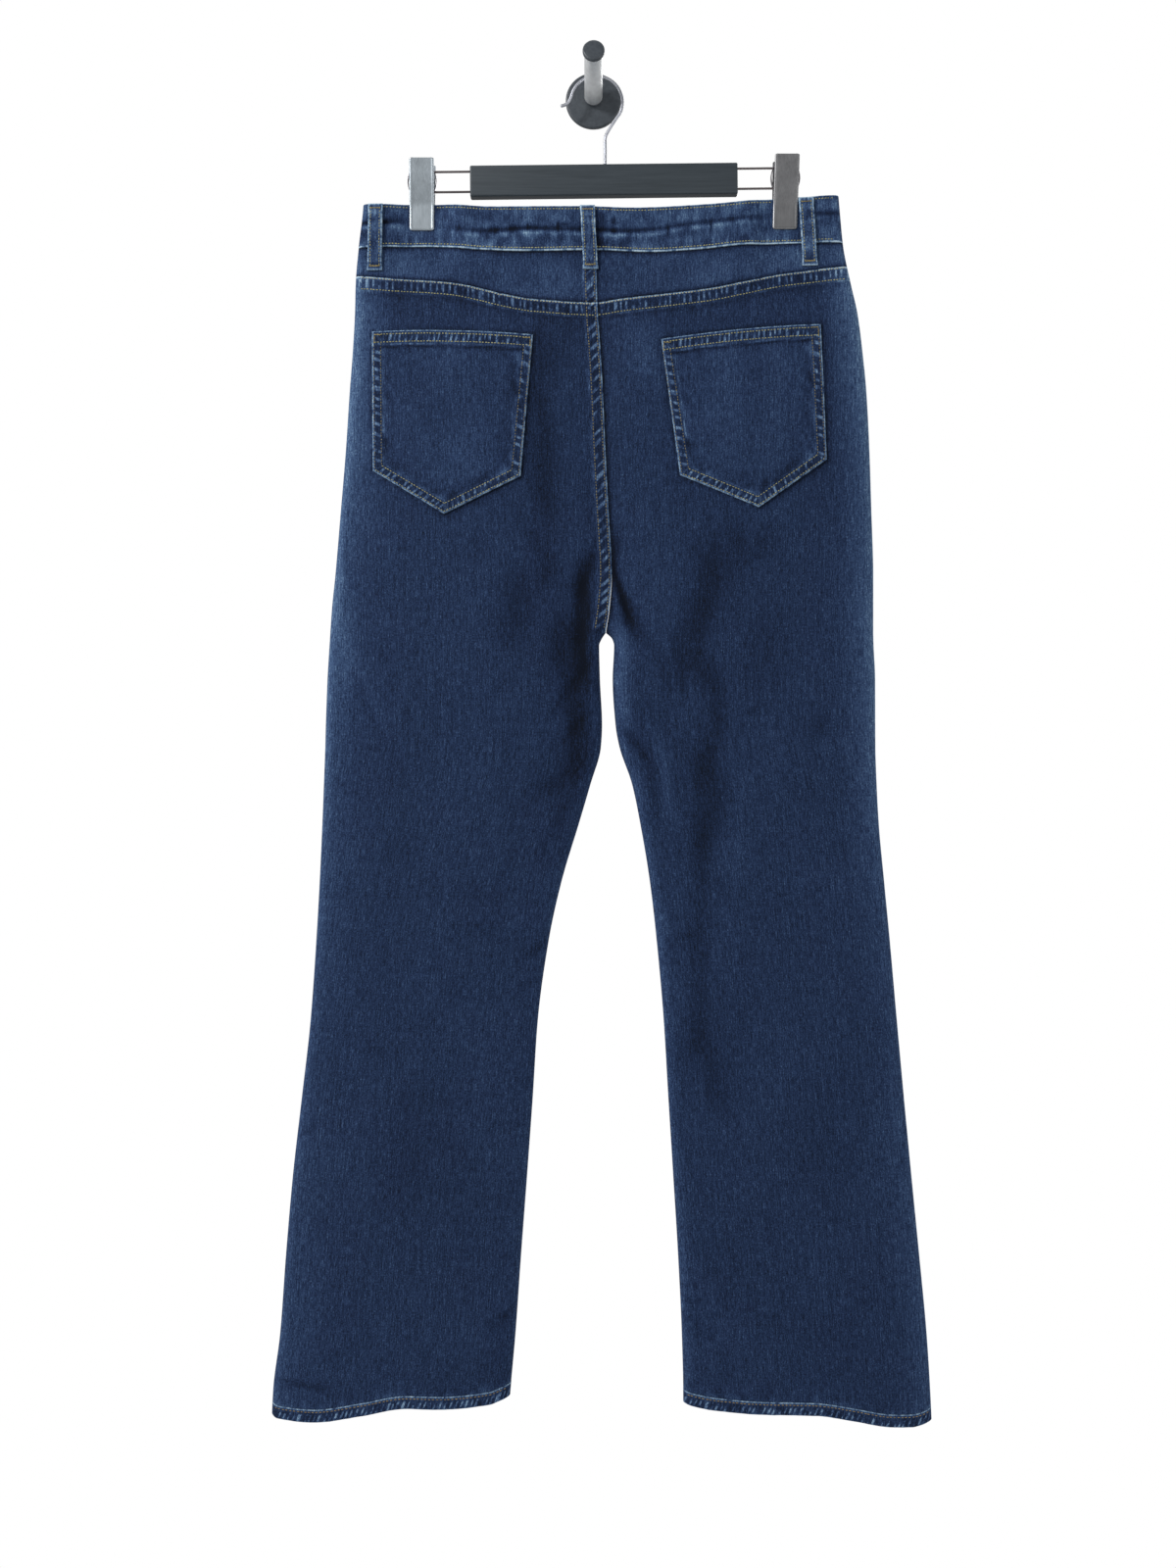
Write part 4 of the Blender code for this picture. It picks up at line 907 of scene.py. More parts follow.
def thread_material(name, dark, light):
    n = Nodes(name)
    at = n.new("ShaderNodeTexCoord").outputs["Object"]
    patch = n.noise(n.scaled(at, (130, 130, 130)), 2.0, 0.6)
    twist = n.noise(n.scaled(at, (2600, 2600, 2600)), 1.0, 0.5)
    n.set(Base_Color=n.ramp(n.add(n.times(patch, 0.6), n.times(twist, 0.4)),
                            [(0.30, dark), (0.66, light)]))
    n.bump(twist, 0.4, 0.0001)
    n.set(Roughness=0.62, Specular_IOR_Level=0.3, Sheen_Weight=0.1)
    return n.mat


def brushed_material(name, dark, light, rough, along):
    """Metal brushed along one direction (0 x, 2 z)."""
    n = Nodes(name)
    at = n.new("ShaderNodeTexCoord").outputs["Object"]
    factors = [2400.0, 2400.0, 2400.0]
    factors[along] = 60.0
    lines = n.noise(n.scaled(at, tuple(factors)), 3.0, 0.6)
    smear = n.noise(n.scaled(at, (120, 120, 60)), 3.0, 0.6)
    value = n.add(n.times(lines, 0.55), n.times(smear, 0.45))
    n.set(Base_Color=n.ramp(value, [(0.30, dark), (0.70, light)]))
    n.set(Roughness=n.add(rough, n.about(lines, 0.16), n.about(smear, 0.10)), Metallic=1.0)
    n.bump(lines, 0.18, 0.0001)
    return n.mat


def plain_metal(name, colour, rough, scratches=0.06, bump=0.05):
    n = Nodes(name)
    at = n.new("ShaderNodeTexCoord").outputs["Object"]
    smear = n.noise(n.scaled(at, (180, 180, 180)), 3.0, 0.6)
    fine = n.noise(n.scaled(at, (1500, 1500, 1500)), 2.0, 0.6)
    n.set(Base_Color=n.ramp(smear, [(0.3, tuple(c * 0.88 for c in colour)), (0.7, colour)]))
    n.set(Roughness=n.add(rough, n.about(smear, scratches), n.about(fine, scratches)), Metallic=1.0)
    n.bump(fine, bump, 0.00005)
    return n.mat


def black_paint_material(name):
    n = Nodes(name)
    at = n.new("ShaderNodeTexCoord").outputs["Object"]
    peel = n.noise(n.scaled(at, (420, 420, 420)), 2.0, 0.5)
    dust = n.noise(n.scaled(at, (2200, 2200, 2200)), 2.0, 0.6)
    n.set(Base_Color=n.ramp(n.add(n.times(peel, 0.6), n.times(dust, 0.4)), [
        (0.35, (0.036, 0.043, 0.052)), (0.70, (0.056, 0.066, 0.077))]))
    n.set(Roughness=n.add(0.42, n.about(peel, 0.14), n.about(dust, 0.08)), Specular_IOR_Level=0.45)
    n.bump(n.add(n.times(peel, 0.8), n.times(dust, 0.3)), 0.12, 0.0002)
    return n.mat


def black_wood_material(name):
    """Black stained wood: fine open grain along the bar."""
    n = Nodes(name)
    at = n.new("ShaderNodeTexCoord").outputs["Object"]
    pores = n.noise(n.scaled(at, (26, 900, 900)), 3.0, 0.65, distortion=0.4)
    rings = n.noise(n.scaled(at, (7, 150, 150)), 3.0, 0.6, distortion=0.8)
    value = n.add(n.times(pores, 0.55), n.times(rings, 0.45))
    n.set(Base_Color=n.ramp(value, [(0.30, (0.020, 0.027, 0.033)), (0.52, (0.028, 0.037, 0.045)),
                                    (0.74, (0.037, 0.047, 0.056))]))
    n.set(Roughness=n.add(0.46, n.about(pores, 0.22)), Specular_IOR_Level=0.4)
    n.bump(value, 0.30, 0.00022)
    return n.mat


def tape_material(name):
    n = Nodes(name)
    at = n.new("ShaderNodeTexCoord").outputs["Object"]
    weave = n.math("SINE", n.times(n.split(at)[2], 6.2832 / 0.0009))
    fleck = n.noise(n.scaled(at, (900, 900, 500)), 2.0, 0.6)
    n.set(Base_Color=n.ramp(n.add(n.times(weave, 0.12), fleck), [
        (0.30, (0.010, 0.014, 0.028)), (0.75, (0.026, 0.036, 0.066))]))
    n.bump(n.add(n.times(weave, 0.4), n.times(fleck, 0.4)), 0.5, 0.0002)
    n.set(Roughness=0.85, Specular_IOR_Level=0.2, Sheen_Weight=0.1)
    return n.mat


DENIM = denim_material()
TAN = thread_material("tan_thread", (0.110, 0.108, 0.046), (0.37, 0.355, 0.165))
GOLD = thread_material("gold_thread", (0.15, 0.115, 0.035), (0.38, 0.30, 0.11))
UMBER = thread_material("umber_thread", (0.050, 0.048, 0.030), (0.190, 0.165, 0.085))
BEIGE = thread_material("beige_thread", (0.15, 0.155, 0.10), (0.42, 0.42, 0.30))
RUST = thread_material("rust_thread", (0.108, 0.074, 0.028), (0.270, 0.196, 0.078))


# ------------------------------------------------------------------- the grids
NEAR_STEPS = [0, 0.10, 0.4, 0.9, 1.6, 2.5, 3.6, 4.9, 6.3, 7.8, 9.3, 10.4, 11.2, 11.9, 12.7, 14.0,
              16.0, 18.5, 21.5]
FAR_STEPS = [0, 0.10, 0.4, 0.9, 1.6, 2.5, 3.6, 4.9, 6.3, 7.8, 9.6, 12.0]


def panel_x(side, z, middle, inset=0.0, cut_in=SEAM_GAP / 2):
    """x of every column at the heights z, a last axis of columns."""
    sign = sign_of(side)
    inner = inner_edge(side, z) + sign * (cut_in + inset * closed_edge(z))
    outer = outer_edge(side, z) - sign * inset
    near = np.asarray(NEAR_STEPS)[None, :]
    far = np.asarray(FAR_STEPS)[::-1][None, :]
    t = np.linspace(0, 1, middle + 2)[1:-1][None, :]
    a = inner[:, None] + sign * NEAR_STEPS[-1]
    b = outer[:, None] - sign * FAR_STEPS[-1]
    return np.concatenate([inner[:, None] + sign * near, a * (1 - t) + b * t,
                           outer[:, None] - sign * far], 1)


def panel_grid(side, heights, middle, inset, cut_in=SEAM_GAP / 2):
    """x and z of a grid whose rows are heights: numbers, or functions of x."""
    x_rows, z_rows = [], []
    count = len(NEAR_STEPS) + middle + len(FAR_STEPS)
    for level in heights:
        z = np.full(count, -150.0 if callable(level) else float(level))
        for _ in range(6 if callable(level) else 1):
            grid = panel_x(side, z, middle, inset, cut_in)
            x = grid[np.arange(count), np.arange(count)]
            if callable(level):
                z = level(x)
        x_rows.append(x)
        z_rows.append(z)
    return np.array(x_rows), np.array(z_rows)


def leg_middle(side, z):
    """x of the leg's middle, which the warp follows below the crotch."""
    middle = (inner_edge(side, np.minimum(z, -520.0)) + outer_edge(side, z)) / 2
    start = float((inner_edge(side, -520.0) + outer_edge(side, -520.0)) / 2)
    return np.where(z < -520, middle - start, 0.0)


def blend_rows(top, low, shares):
    """Heights between two edges: top and low are functions of x."""
    return [lambda x, s=s: top(x) * (1 - s) + low(x) * s for s in shares]


def constant(value):
    return lambda x: np.full(np.shape(x), float(value))


CLOTH = {}


def make_panel(name, sheet, side, heights, middle, lift, looks, mat=None):
    x, z = panel_grid(side, heights, middle, 0.0)
    outer = place(sheet, side, x, z, 0.0, lift(sheet, side, x, z))
    xi, zi = panel_grid(side, heights, middle, CLOTH_WALL)
    inner = place(sheet, side, xi, zi, CLOTH_WALL)
    out, ins = looks(sheet, side, x, z, 0.0), looks(sheet, side, xi, zi, 1.0)
    CLOTH[name] = shell(name, outer, inner, out, ins, mat or DENIM)
    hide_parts(name)
    return CLOTH[name]


def back_looks(sheet, side, x, z, inside):
    d = YOKE_EDGE(x) - z
    seat = seat_distance(x, z)
    on_seat = (side == "left")
    hip = smooth((44 - (outer_edge(side, z) - x) * sign_of(side)) / 44) * smooth((z + 420) / 160)
    up = z - (HEM_EDGE[side](x) + HEM_HEIGHT)
    seam_side = (outer_edge(side, z) - x) * sign_of(side)
    feat = (d, d / YOKE_BAND, x / 5.6)
    if on_seat:
        feat2 = (np.where(z > -481, np.where(seat > -0.5, seat, 60.0), 60.0),
                 np.where(z > -481, seat / SEAT_BAND, -2.0), z / 9.4 + 1.15 * seat / SEAT_BAND)
    else:
        feat2 = (seam_side + 0.9, -2.0, z / 9)
    shade = shade_of(sheet, x, z)
    near_gap = to_gap(x, z)
    if side == "left":
        shade = shade + 0.38 * np.exp(-((near_gap - 17) / 10) ** 2) * smooth((-z - 440) / 60) \
            * smooth((z + 720) / 120)
    if not on_seat:
        shade = shade + 0.5 * smooth((6.0 + seat) / 6.0) * smooth((z + 484) / 20)
    # painted rim highlight: lighter where the cloth rounds over the outer seam and the hip, and along the edge by
    # the gap between the legs
    rim = np.exp(-(seam_side / 24) ** 2) + 0.7 * np.exp(-(seam_side / 7) ** 2)
    wear_and_highlight = (0.44 + 0.06 * (side == "right")) * rim * (0.48 + 0.52 * smooth((z + 760) / 260)) + 0.16 * hip
    wear_and_highlight = wear_and_highlight + (0.22 + 0.08 * (side == "right")) \
        * np.exp(-(near_gap / (5.5 + 3.0 * (side == "right"))) ** 2)
    wear_and_highlight = wear_and_highlight + 0.16 * smooth((5 - up) / 5) + 0.10 * noise(x, z, 30, 61, 1.6) * smooth((60 - up) / 60)
    wear_and_highlight = wear_and_highlight + 0.30 * noise(x, up, 4.2, 72, 2.4) * smooth((11 - up) / 9)
    wear_and_highlight = wear_and_highlight + 0.40 * np.exp(-((d - 1.2) / 1.3) ** 2) * (0.7 + 0.5 * noise(x, z, 5.0, 71))
    # contact shade round the patch pocket and under the raised seams
    for p in POCKETS:
        if p.side != side:
            continue
        away = pocket_outside(p, x, z)
        shade = shade + 0.9 * np.exp(-(away[0] / 1.7) ** 2) + 0.45 * np.exp(-(away[1] / 5.5) ** 2)
    shade = shade + 0.35 * np.exp(-((d - YOKE_BAND - 2.4) / 1.6) ** 2)
    if not on_seat:
        shade = shade + 0.9 * np.exp(-(seat / 2.2) ** 2) * smooth((z + 484) / 10)
    return looks_of(x.shape, (x - leg_middle(side, z), z, 3.0 + 11 * (side == "right")), feat, feat2,
                    wear_and_highlight, np.clip(shade, -0.7, 2.2), inside)


def front_looks(sheet, side, x, z, inside):
    seat = seat_distance(x, z)
    up = z - (HEM_EDGE[side](x) + HEM_HEIGHT)
    seam_side = (outer_edge(side, z) - x) * sign_of(side)
    feat2 = (60.0, -2.0, z)
    if side == "left":
        feat2 = (np.where(z > -481, np.where(seat > -0.5, seat, 60.0), 60.0),
                 np.where((z < -335) & (z > -481), seat / 8.0, -2.0), z / 8)
    drop = waist_foot("front", x) - SEAM_GAP - mouth(side, x) - z
    on_mouth = np.where(x * sign_of(side) > (outer_edge(side, -190.0) * sign_of(side) - MOUTH_WIDTH),
                        drop, 60.0)
    feat = (np.where(on_mouth < 14, on_mouth, seam_side + 0.9),
            np.where(on_mouth < 14, on_mouth / 9.5, -2.0), x / 6)
    shade = shade_of(sheet, x, z) + 0.35 * smooth((26 - to_gap(x, z)) / 26)
    fade = smooth((z + 700) / 260) * smooth((-z - 240) / 120) * 0.16
    # rim paints a highlight along the outer seam
    rim = np.exp(-(seam_side / 17) ** 2)
    wear_and_highlight = fade + 0.16 * smooth((5 - up) / 5) + 0.08 * noise(x, z, 34, 63, 1.6) + 0.25 * rim
    return looks_of(x.shape, (x - leg_middle(side, z), z, 31.0 + 11 * (side == "right")), feat,
                    feat2, wear_and_highlight, np.clip(shade, -0.6, 1.4), inside)


def yoke_looks(sheet, side, x, z, inside):
    seat = seat_distance(x, z)
    feat2 = None
    if side == "left":
        feat2 = (np.where(seat > -0.5, seat, 60.0), seat / SEAT_BAND, z / 9.4 + 1.15 * seat / SEAT_BAND)
    d = z - YOKE_EDGE(x)
    up = waist_foot("back", x) - z
    wear_and_highlight = 0.24 + 0.12 * noise(x, z, 9, 64, 1.3) + 0.16 * smooth((abs(x) - 120) / 70)
    # the term at the outer seam paints a rim highlight
    wear_and_highlight = wear_and_highlight - 0.16 * noise(x, z, 34, 62, 0.8) + 0.3 * np.exp(-(((outer_edge(side, z) - x) * sign_of(side)) / 7) ** 2)
    shade = 1.5 * np.exp(-(np.maximum(up, 0) / 1.9) ** 2) + 0.35 * smooth((8 - up) / 8)
    shade = shade + 1.3 * np.exp(-(d / 2.0) ** 2) + 0.3 * smooth((7.0 - d) / 7.0)
    if side == "right":
        shade = shade + 0.9 * np.exp(-(seat / 2.4) ** 2)
    return looks_of(x.shape, (x, z, 51.0 + 11 * (side == "right")), None, feat2, wear_and_highlight, shade, inside)


def mouth(side, x):
    """How far the hip pocket's mouth has dropped below the waistband at x."""
    sign = sign_of(side)
    start = float(outer_edge(side, -190.0)) - sign * MOUTH_WIDTH
    t = np.clip((x - start) * sign / MOUTH_WIDTH, 0.0, 1.0)
    return MOUTH_DROP * (1 - (1 - t) ** 2.4)


SEAM_STEPS = [0, 0.35, 0.8, 1.4, 2.2, 3.4, 5.0, 6.6, 8.0, 9.0, 9.8, 10.5, 11.4, 12.8, 15.0]


def back_panels():
    for side in ("left", "right"):
        waist = lambda x: waist_foot("back", x) - SEAM_GAP
        yoke_foot = lambda x: YOKE_EDGE(x) + SEAM_GAP
        shares = np.concatenate([[0, 0.02, 0.05], np.linspace(0.1, 0.9, 13), [0.95, 0.98, 1.0]])
        make_panel("yoke_" + side, "back", side, blend_rows(waist, yoke_foot, shares), 62,
                   yoke_lift, yoke_looks)
        hem = lambda x: HEM_EDGE[side](x) + HEM_HEIGHT
        rows = [lambda x, d=d: YOKE_EDGE(x) - d for d in SEAM_STEPS]
        rows += blend_rows(lambda x: YOKE_EDGE(x) - SEAM_STEPS[-1], constant(-240),
                           np.linspace(0, 1, 15)[1:])
        levels = np.concatenate([np.arange(-243, -466, -3.0), np.arange(-467, -502, -1.25),
                                 np.arange(-504, -680, -3.4), np.arange(-684, -1128, -5.2)])
        rows += [float(z) for z in levels]
        rows += blend_rows(constant(-1129.0), hem, np.linspace(0, 1, 13))
        make_panel("back_" + side, "back", side, rows, 56, panel_lift, back_looks)


def front_panels():
    for side in ("left", "right"):
        scoop = lambda x: waist_foot("front", x) - SEAM_GAP - mouth(side, x)
        rows = [lambda x, d=d: scoop(x) - d for d in (0, 0.4, 1.0, 2.0, 3.4, 5.0, 6.6, 8.2, 9.4, 10.6,
                                                    12.4)]
        rows += blend_rows(lambda x: scoop(x) - 12.4, constant(-282), np.linspace(0, 1, 26)[1:])
        hem = lambda x: HEM_EDGE[side](x) + HEM_HEIGHT
        levels = np.concatenate([np.arange(-286, -466, -4.0), np.arange(-467, -502, -1.5),
                                 np.arange(-505, -690, -5.0), np.arange(-697, -1124, -7.0)])
        rows += [float(z) for z in levels]
        rows += blend_rows(constant(-1128.0), hem, np.linspace(0, 1, 9))
        make_panel("front_" + side, "front", side, rows, 46, front_lift, front_looks)


def front_lift(sheet, side, x, z):
    out = panel_lift(sheet, side, x, z)
    scoop = waist_foot("front", x) - SEAM_GAP - mouth(side, x) - z
    sign = sign_of(side)
    at_mouth = smooth((x * sign - (float(outer_edge(side, -190.0)) * sign - MOUTH_WIDTH)) / 6)
    edge = 0.3 * (0.3 + 0.7 * rounded(scoop, 1.0)) * smooth((10.5 - scoop) / 1.5)
    return out + edge * at_mouth * rounded((outer_edge(side, z) - x) * sign, 6.0)


def facings():
    """Pocket facing seen in each hip pocket's mouth."""
    for side in ("left", "right"):
        sign = sign_of(side)
        begin = float(outer_edge(side, -190)) - sign * (MOUTH_WIDTH + 9)
        faces, looks = [], []
        for inset in (CLOTH_WALL + 0.7, CLOTH_WALL + 1.7):
            x_rows, z_rows = [], []
            t = np.concatenate([np.linspace(0, 1, 30), np.full(9, np.nan)])
            caps = np.array([12, 9.6, 7.8, 6.3, 4.9, 3.6, 1.6, 0.4, 0.0])
            for share in np.linspace(0, 1, 22):
                z = np.full(len(t), -170.0)
                for _ in range(6):
                    outer = outer_edge(side, z) - sign * inset
                    x = np.where(np.isnan(t), 0, begin + (outer - sign * 14 - begin) * np.nan_to_num(t))
                    x[30:] = (outer - sign * np.concatenate([np.zeros(30), caps]))[30:]
                    z = waist_foot("front", x) - SEAM_GAP - 0.9 - (mouth(side, x) + 12) * share
                x_rows.append(x)
                z_rows.append(z)
            x, z = np.array(x_rows), np.array(z_rows)
            faces.append(place("front", side, x, z, inset))
            # the facing seen in the pocket's mouth gets a little painted shade
            looks.append(looks_of(x.shape, (x, z, 71.0), None, None,
                                  0.05 + 0.1 * noise(x, z, 14, 65), 0.1, float(len(looks))))
        name = "pocket_facing_" + side
        CLOTH[name] = shell(name, faces[0], faces[1], looks[0], looks[1], DENIM)
        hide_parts(name)


def waistband():
    centre = float(inner_edge("left", -130.0))
    lap_over, lap_under = 9.0, 21.0
    under = BAND_WALL + 0.6
    stations = []                       # sheet, side, x or nan, distance from the side, inward

    def span(sheet, side, a, b, inward=0.0, step=1.9):
        for x in np.linspace(a, b, max(2, int(abs(b - a) / step)) + 1):
            stations.append((sheet, side, float(x), np.nan, inward))

    def turn(sheet, side, outward):
        steps = [12.0, 9.6, 7.8, 6.3, 4.9, 3.6, 2.5, 1.6, 0.9, 0.4, 0.1]
        part = [(sheet, side, np.nan, d, 0.0) for d in steps]
        stations.extend(part if outward else part[::-1])

    span("front", "right", centre + lap_over, centre + 1.0)
    span("front", "left", centre - 1.0, -186.0)
    turn("front", "left", True)
    stations.append(("back", "left", np.nan, 0.0, 0.0))
    turn("back", "left", False)
    span("back", "left", -186.0, centre - 1.0)
    span("back", "right", centre + 1.0, 203.0)
    turn("back", "right", True)
    stations.append(("back", "right", np.nan, 0.0, 0.0))
    turn("front", "right", False)
    span("front", "right", 203.0, centre + 23.0)
    span("front", "right", centre + 11.0, centre + 1.0, under)
    span("front", "left", centre - 1.0, centre - lap_under, under)

    shares = np.array([0, 0.012, 0.03, 0.055, 0.085, 0.12, 0.17, 0.225, 0.28, 0.33, 0.375, 0.415,
                       0.45, 0.485, 0.52, 0.56, 0.605, 0.65, 0.70, 0.75, 0.80, 0.85, 0.895, 0.93,
                       0.955, 0.975, 0.99, 1.0])
    faces, looks = [], []
    for inset in (0.0, BAND_WALL):
        grid = np.zeros((len(shares), len(stations), 3))
        tone = {k: np.zeros((len(shares), len(stations), 3)) for k in ("grain", "feat", "feat2", "tone")}
        run = 0.0
        last_x = None
        for c, (sheet, side, fixed, away, inward) in enumerate(stations):
            sign = sign_of(side)
            z = np.full(len(shares), -120.0)
            for _ in range(6):
                if np.isnan(away):
                    x = np.full(len(shares), fixed)
                else:
                    x = outer_edge(side, z) - sign * (inset + away)
                z = waist_top(sheet, x) * (1 - shares) + waist_foot(sheet, x) * shares
            lift = waistband_lift(sheet, side, x, z) if inset == 0 else 0.15
            if inward > 0:
                lift = 0.0
            edge_fade = rounded((outer_edge(side, z) - x) * sign - inset, 5.0)
            p = place(sheet, side, x, z, inset + inward, lift * edge_fade)
            if away == 0.0:
                p[:, 1] = HANG_Y
            grid[:, c] = p
            along = x if sheet == "back" else 900 - x
            down, up = shares * 40.0, (1 - shares) * 40.0
            shift = 0.0 if sheet == "back" else 60.0
            gap = (shares - CREASE_AT(x + shift)) * 40
            crease = (0.3 + CREASE_DEPTH(x + shift)) * (1 - 0.8 * pinch(x, 0 * x - 120))
            shade = 0.98 * crease * np.exp(-((gap + 0.6) / 1.9) ** 2)
            below = smooth((shares - 0.50) * 7) * smooth((0.97 - shares) * 12)
            pucker = 0.6 * noise(x, z, 3.0, 66, 2.6) + 0.5 * noise(x, z, 6.5, 65, 1.4)
            wear_and_highlight = 0.36 + 0.08 * smooth((x - 10) / 60) + 0.60 * pucker * below + 0.42 * pucker * (1 - below)
            wear_and_highlight = wear_and_highlight + 0.20 * noise(x, z, 12, 67, 0.6)
            wear_and_highlight = wear_and_highlight + 0.34 * crease * np.exp(-((gap - 4.0) / 2.0) ** 2) * smooth(pucker + 0.8)
            wear_and_highlight = wear_and_highlight + 0.72 * np.exp(-((up - 0.7) / 0.52) ** 2) * np.clip(0.72 + 0.85 * noise(x, 0 * x, 4.0, 73), 0.15, 1.2)
            if sheet == "back":
                shade = shade + 1.1 * np.exp(-(((x - 0.6) / 11.5) ** 4)) * smooth((down - 3) / 4) * smooth(up / 5)
                # painted shade in the small tucks
                for px, pz, wide, tall in PUCKERS:
                    shade = shade + 1.6 * np.exp(-((x - px) / wide) ** 2 - ((z - pz) / tall) ** 2)
            look = looks_of(x.shape, (along, z, 81.0),
                            (np.minimum(up, down + 0.45), -2.0, along / 6), None,
                            wear_and_highlight, shade, 0.0 if inset == 0 else 1.0)
            for k in tone:
                tone[k][:, c] = look[k]
        faces.append(grid)
        looks.append(tone)
    band = shell("waistband", faces[0], faces[1], looks[0], looks[1], DENIM)
    # the inside of the band is faced with the same denim, right side showing, but its inner face takes the weft
    # side's colour
    CLOTH["waistband"] = band
    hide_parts("waistband")


def hems():
    shares = np.array([0, 0.03, 0.08, 0.15, 0.24, 0.36, 0.48, 0.60, 0.72, 0.83, 0.91, 0.96, 1.0])
    for side in ("left", "right"):
        sign = sign_of(side)
        near = np.array([0.10, 0.4, 0.9, 1.6, 2.5, 3.6, 4.9, 6.3, 7.8])
        mid = np.linspace(0, 1, 118)
        faces, looks = [], []
        for inset in (0.0, HEM_WALL):
            grids, tones = [], []
            for sheet in ("back", "front"):
                z = np.full((len(shares), 2 * len(near) + len(mid)), -1165.0)
                for _ in range(5):
                    inner = inner_edge(side, z) + sign * inset
                    outer = outer_edge(side, z) - sign * inset
                    k = len(near)
                    x = np.zeros_like(z)
                    x[:, :k] = inner[:, :k] + sign * near
                    x[:, -k:] = outer[:, -k:] - sign * near[::-1]
                    a, b = inner[:, k:-k] + sign * 9.5, outer[:, k:-k] - sign * 9.5
                    x[:, k:-k] = a * (1 - mid) + b * mid
                    z = HEM_EDGE[side](x) + (HEM_HEIGHT - SEAM_GAP) * (1 - shares[:, None])
                lift = hem_lift(sheet, side, x, z) if inset == 0 else 0.0
                p = place(sheet, side, x, z, inset, lift)
                down = shares[:, None] * HEM_HEIGHT + 0 * x
                along = x + (0 if sheet == "back" else 700)
                pucker = noise(x + 0.5 * (HEM_HEIGHT - down), 0.3 * down, 4.4, 51)
                wear_and_highlight = 0.22 + 0.38 * pucker * smooth((down - 1.5) / 3)
                # the shade given here paints a dark line just under the row of stitches
                look = looks_of(x.shape, (along, z, 91.0),
                                (np.minimum(down + 0.35, HEM_HEIGHT - down + 0.7),
                                 (down - 2.2) / (HEM_HEIGHT - 1.0), along / 4.6 + 0.09 * down),
                                None, wear_and_highlight,
                                0.6 * np.exp(-((down - 3.6) / 0.9) ** 2), 0.0 if inset == 0 else 1.0)
                if sheet == "front":
                    p = p[:, ::-1]
                    look = {key: v[:, ::-1] for key, v in look.items()}
                grids.append(p)
                tones.append(look)
            # one point on the hanging plane at each side closes the ring
            ends = []
            for which in (outer_edge, inner_edge):
                z = np.full(len(shares), -1165.0)
                for _ in range(5):
                    x = which(side, z) + sign * inset * (-1 if which is outer_edge else 1)
                    z = HEM_EDGE[side](x) + (HEM_HEIGHT - SEAM_GAP) * (1 - shares)
                ends.append(np.stack([x, np.full(len(shares), HANG_Y), z], -1)[:, None])
            faces.append(np.concatenate([grids[0], ends[0], grids[1], ends[1]], 1))
            looks.append({key: np.concatenate([tones[0][key], tones[0][key][:, -1:], tones[1][key],
                                               tones[1][key][:, -1:]], 1) for key in tones[0]})
        name = "leg_hem_" + side
        CLOTH[name] = shell(name, faces[0], faces[1], looks[0], looks[1], DENIM, closed=True)
        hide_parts(name)


def uneven(count, near):
    """Numbers from 0 to 1 packed closer at both ends."""
    t = np.linspace(0, 1, count)
    return t - near * np.sin(2 * math.pi * t) / (2 * math.pi)


def pocket_point(p, u, v):
    """(x, z) inside a pocket's outline: u across, v from its top to its foot."""
    top = np.array(p.top_left)[:, None] * (1 - u) + np.array(p.top_right)[:, None] * u
    low_a = np.clip(u / 0.46, 0, 1)
    low_b = np.clip((u - 0.46) / 0.54, 0, 1)
    foot = np.where(u <= 0.46,
                    np.array(p.foot_left)[:, None] * (1 - low_a) + np.array(p.tip)[:, None] * low_a,
                    np.array(p.tip)[:, None] * (1 - low_b) + np.array(p.foot_right)[:, None] * low_b)
    x, z = top * (1 - v) + foot * v
    return x, z


def pockets():
    for p in POCKETS:
        us = np.sort(np.concatenate([uneven(60, 0.8), [0.46]]))
        vs = uneven(64, 0.8)
        x_rows, z_rows = [], []
        for v in vs:
            x, z = pocket_point(p, us, v)
            x_rows.append(x)
            z_rows.append(z + pocket_crown(p, x) * (1 - v) ** 2)
        x, z = np.array(x_rows), np.array(z_rows)
        edges = pocket_distances(p, x, z - pocket_crown(p, x) * smooth(1 - (p.top_left[1] - z) / 60))
        top, rest = edges[0][0], np.minimum.reduce([e[0] for e in edges[1:]])
        which = np.argmin(np.stack([e[0] for e in edges]), 0)
        pace = (5.0, 8.0, 5.6, 5.6, 8.0)
        run = np.choose(which, [(e[1] + 150 * i) / pace[i] for i, e in enumerate(edges)])
        near = np.minimum(top, rest)
        band = np.where(top < rest, top / 12.2, rest / 9.6)
        run = run + 0.4 * band
        shade = 1.1 * np.exp(-((top - 14.2) / 1.3) ** 2) * (rest > 8)
        wear_and_highlight = 0.10 + 0.05 * (p.side == "right") + 0.08 * noise(x, z, 20, 68, 1.4) \
            + 0.30 * np.exp(-((top - 12.2) / 0.9) ** 2)
        wedge = noise(4.4 * run + 0.5 * rest, rest * 0.16, 4.6, 69) * smooth((19 - rest) / 8) * smooth((rest - 7.4) / 1.5)
        wear_and_highlight = wear_and_highlight + 0.75 * wedge * smooth((top - 13) / 4) - 0.12 * np.exp(-((rest - 13) / 6) ** 2)
        out = looks_of(x.shape, (x, z, 101.0 + 7 * (p.side == "right")),
                       (np.maximum(near, 0), band, run), None, wear_and_highlight, shade, 0.0)
        under = looks_of(x.shape, (x, z, 101.0), None, None, 0.1, 0.0, 1.0)
        base = panel_lift("back", p.side, x, z)
        outer = place("back", p.side, x, z, 0.0, base + pocket_lift(p, x, z))
        inner = place("back", p.side, x, z, 0.0, base + 0.35)
        CLOTH[p.name] = shell(p.name, outer, inner, out, under, DENIM)
        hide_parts(p.name)


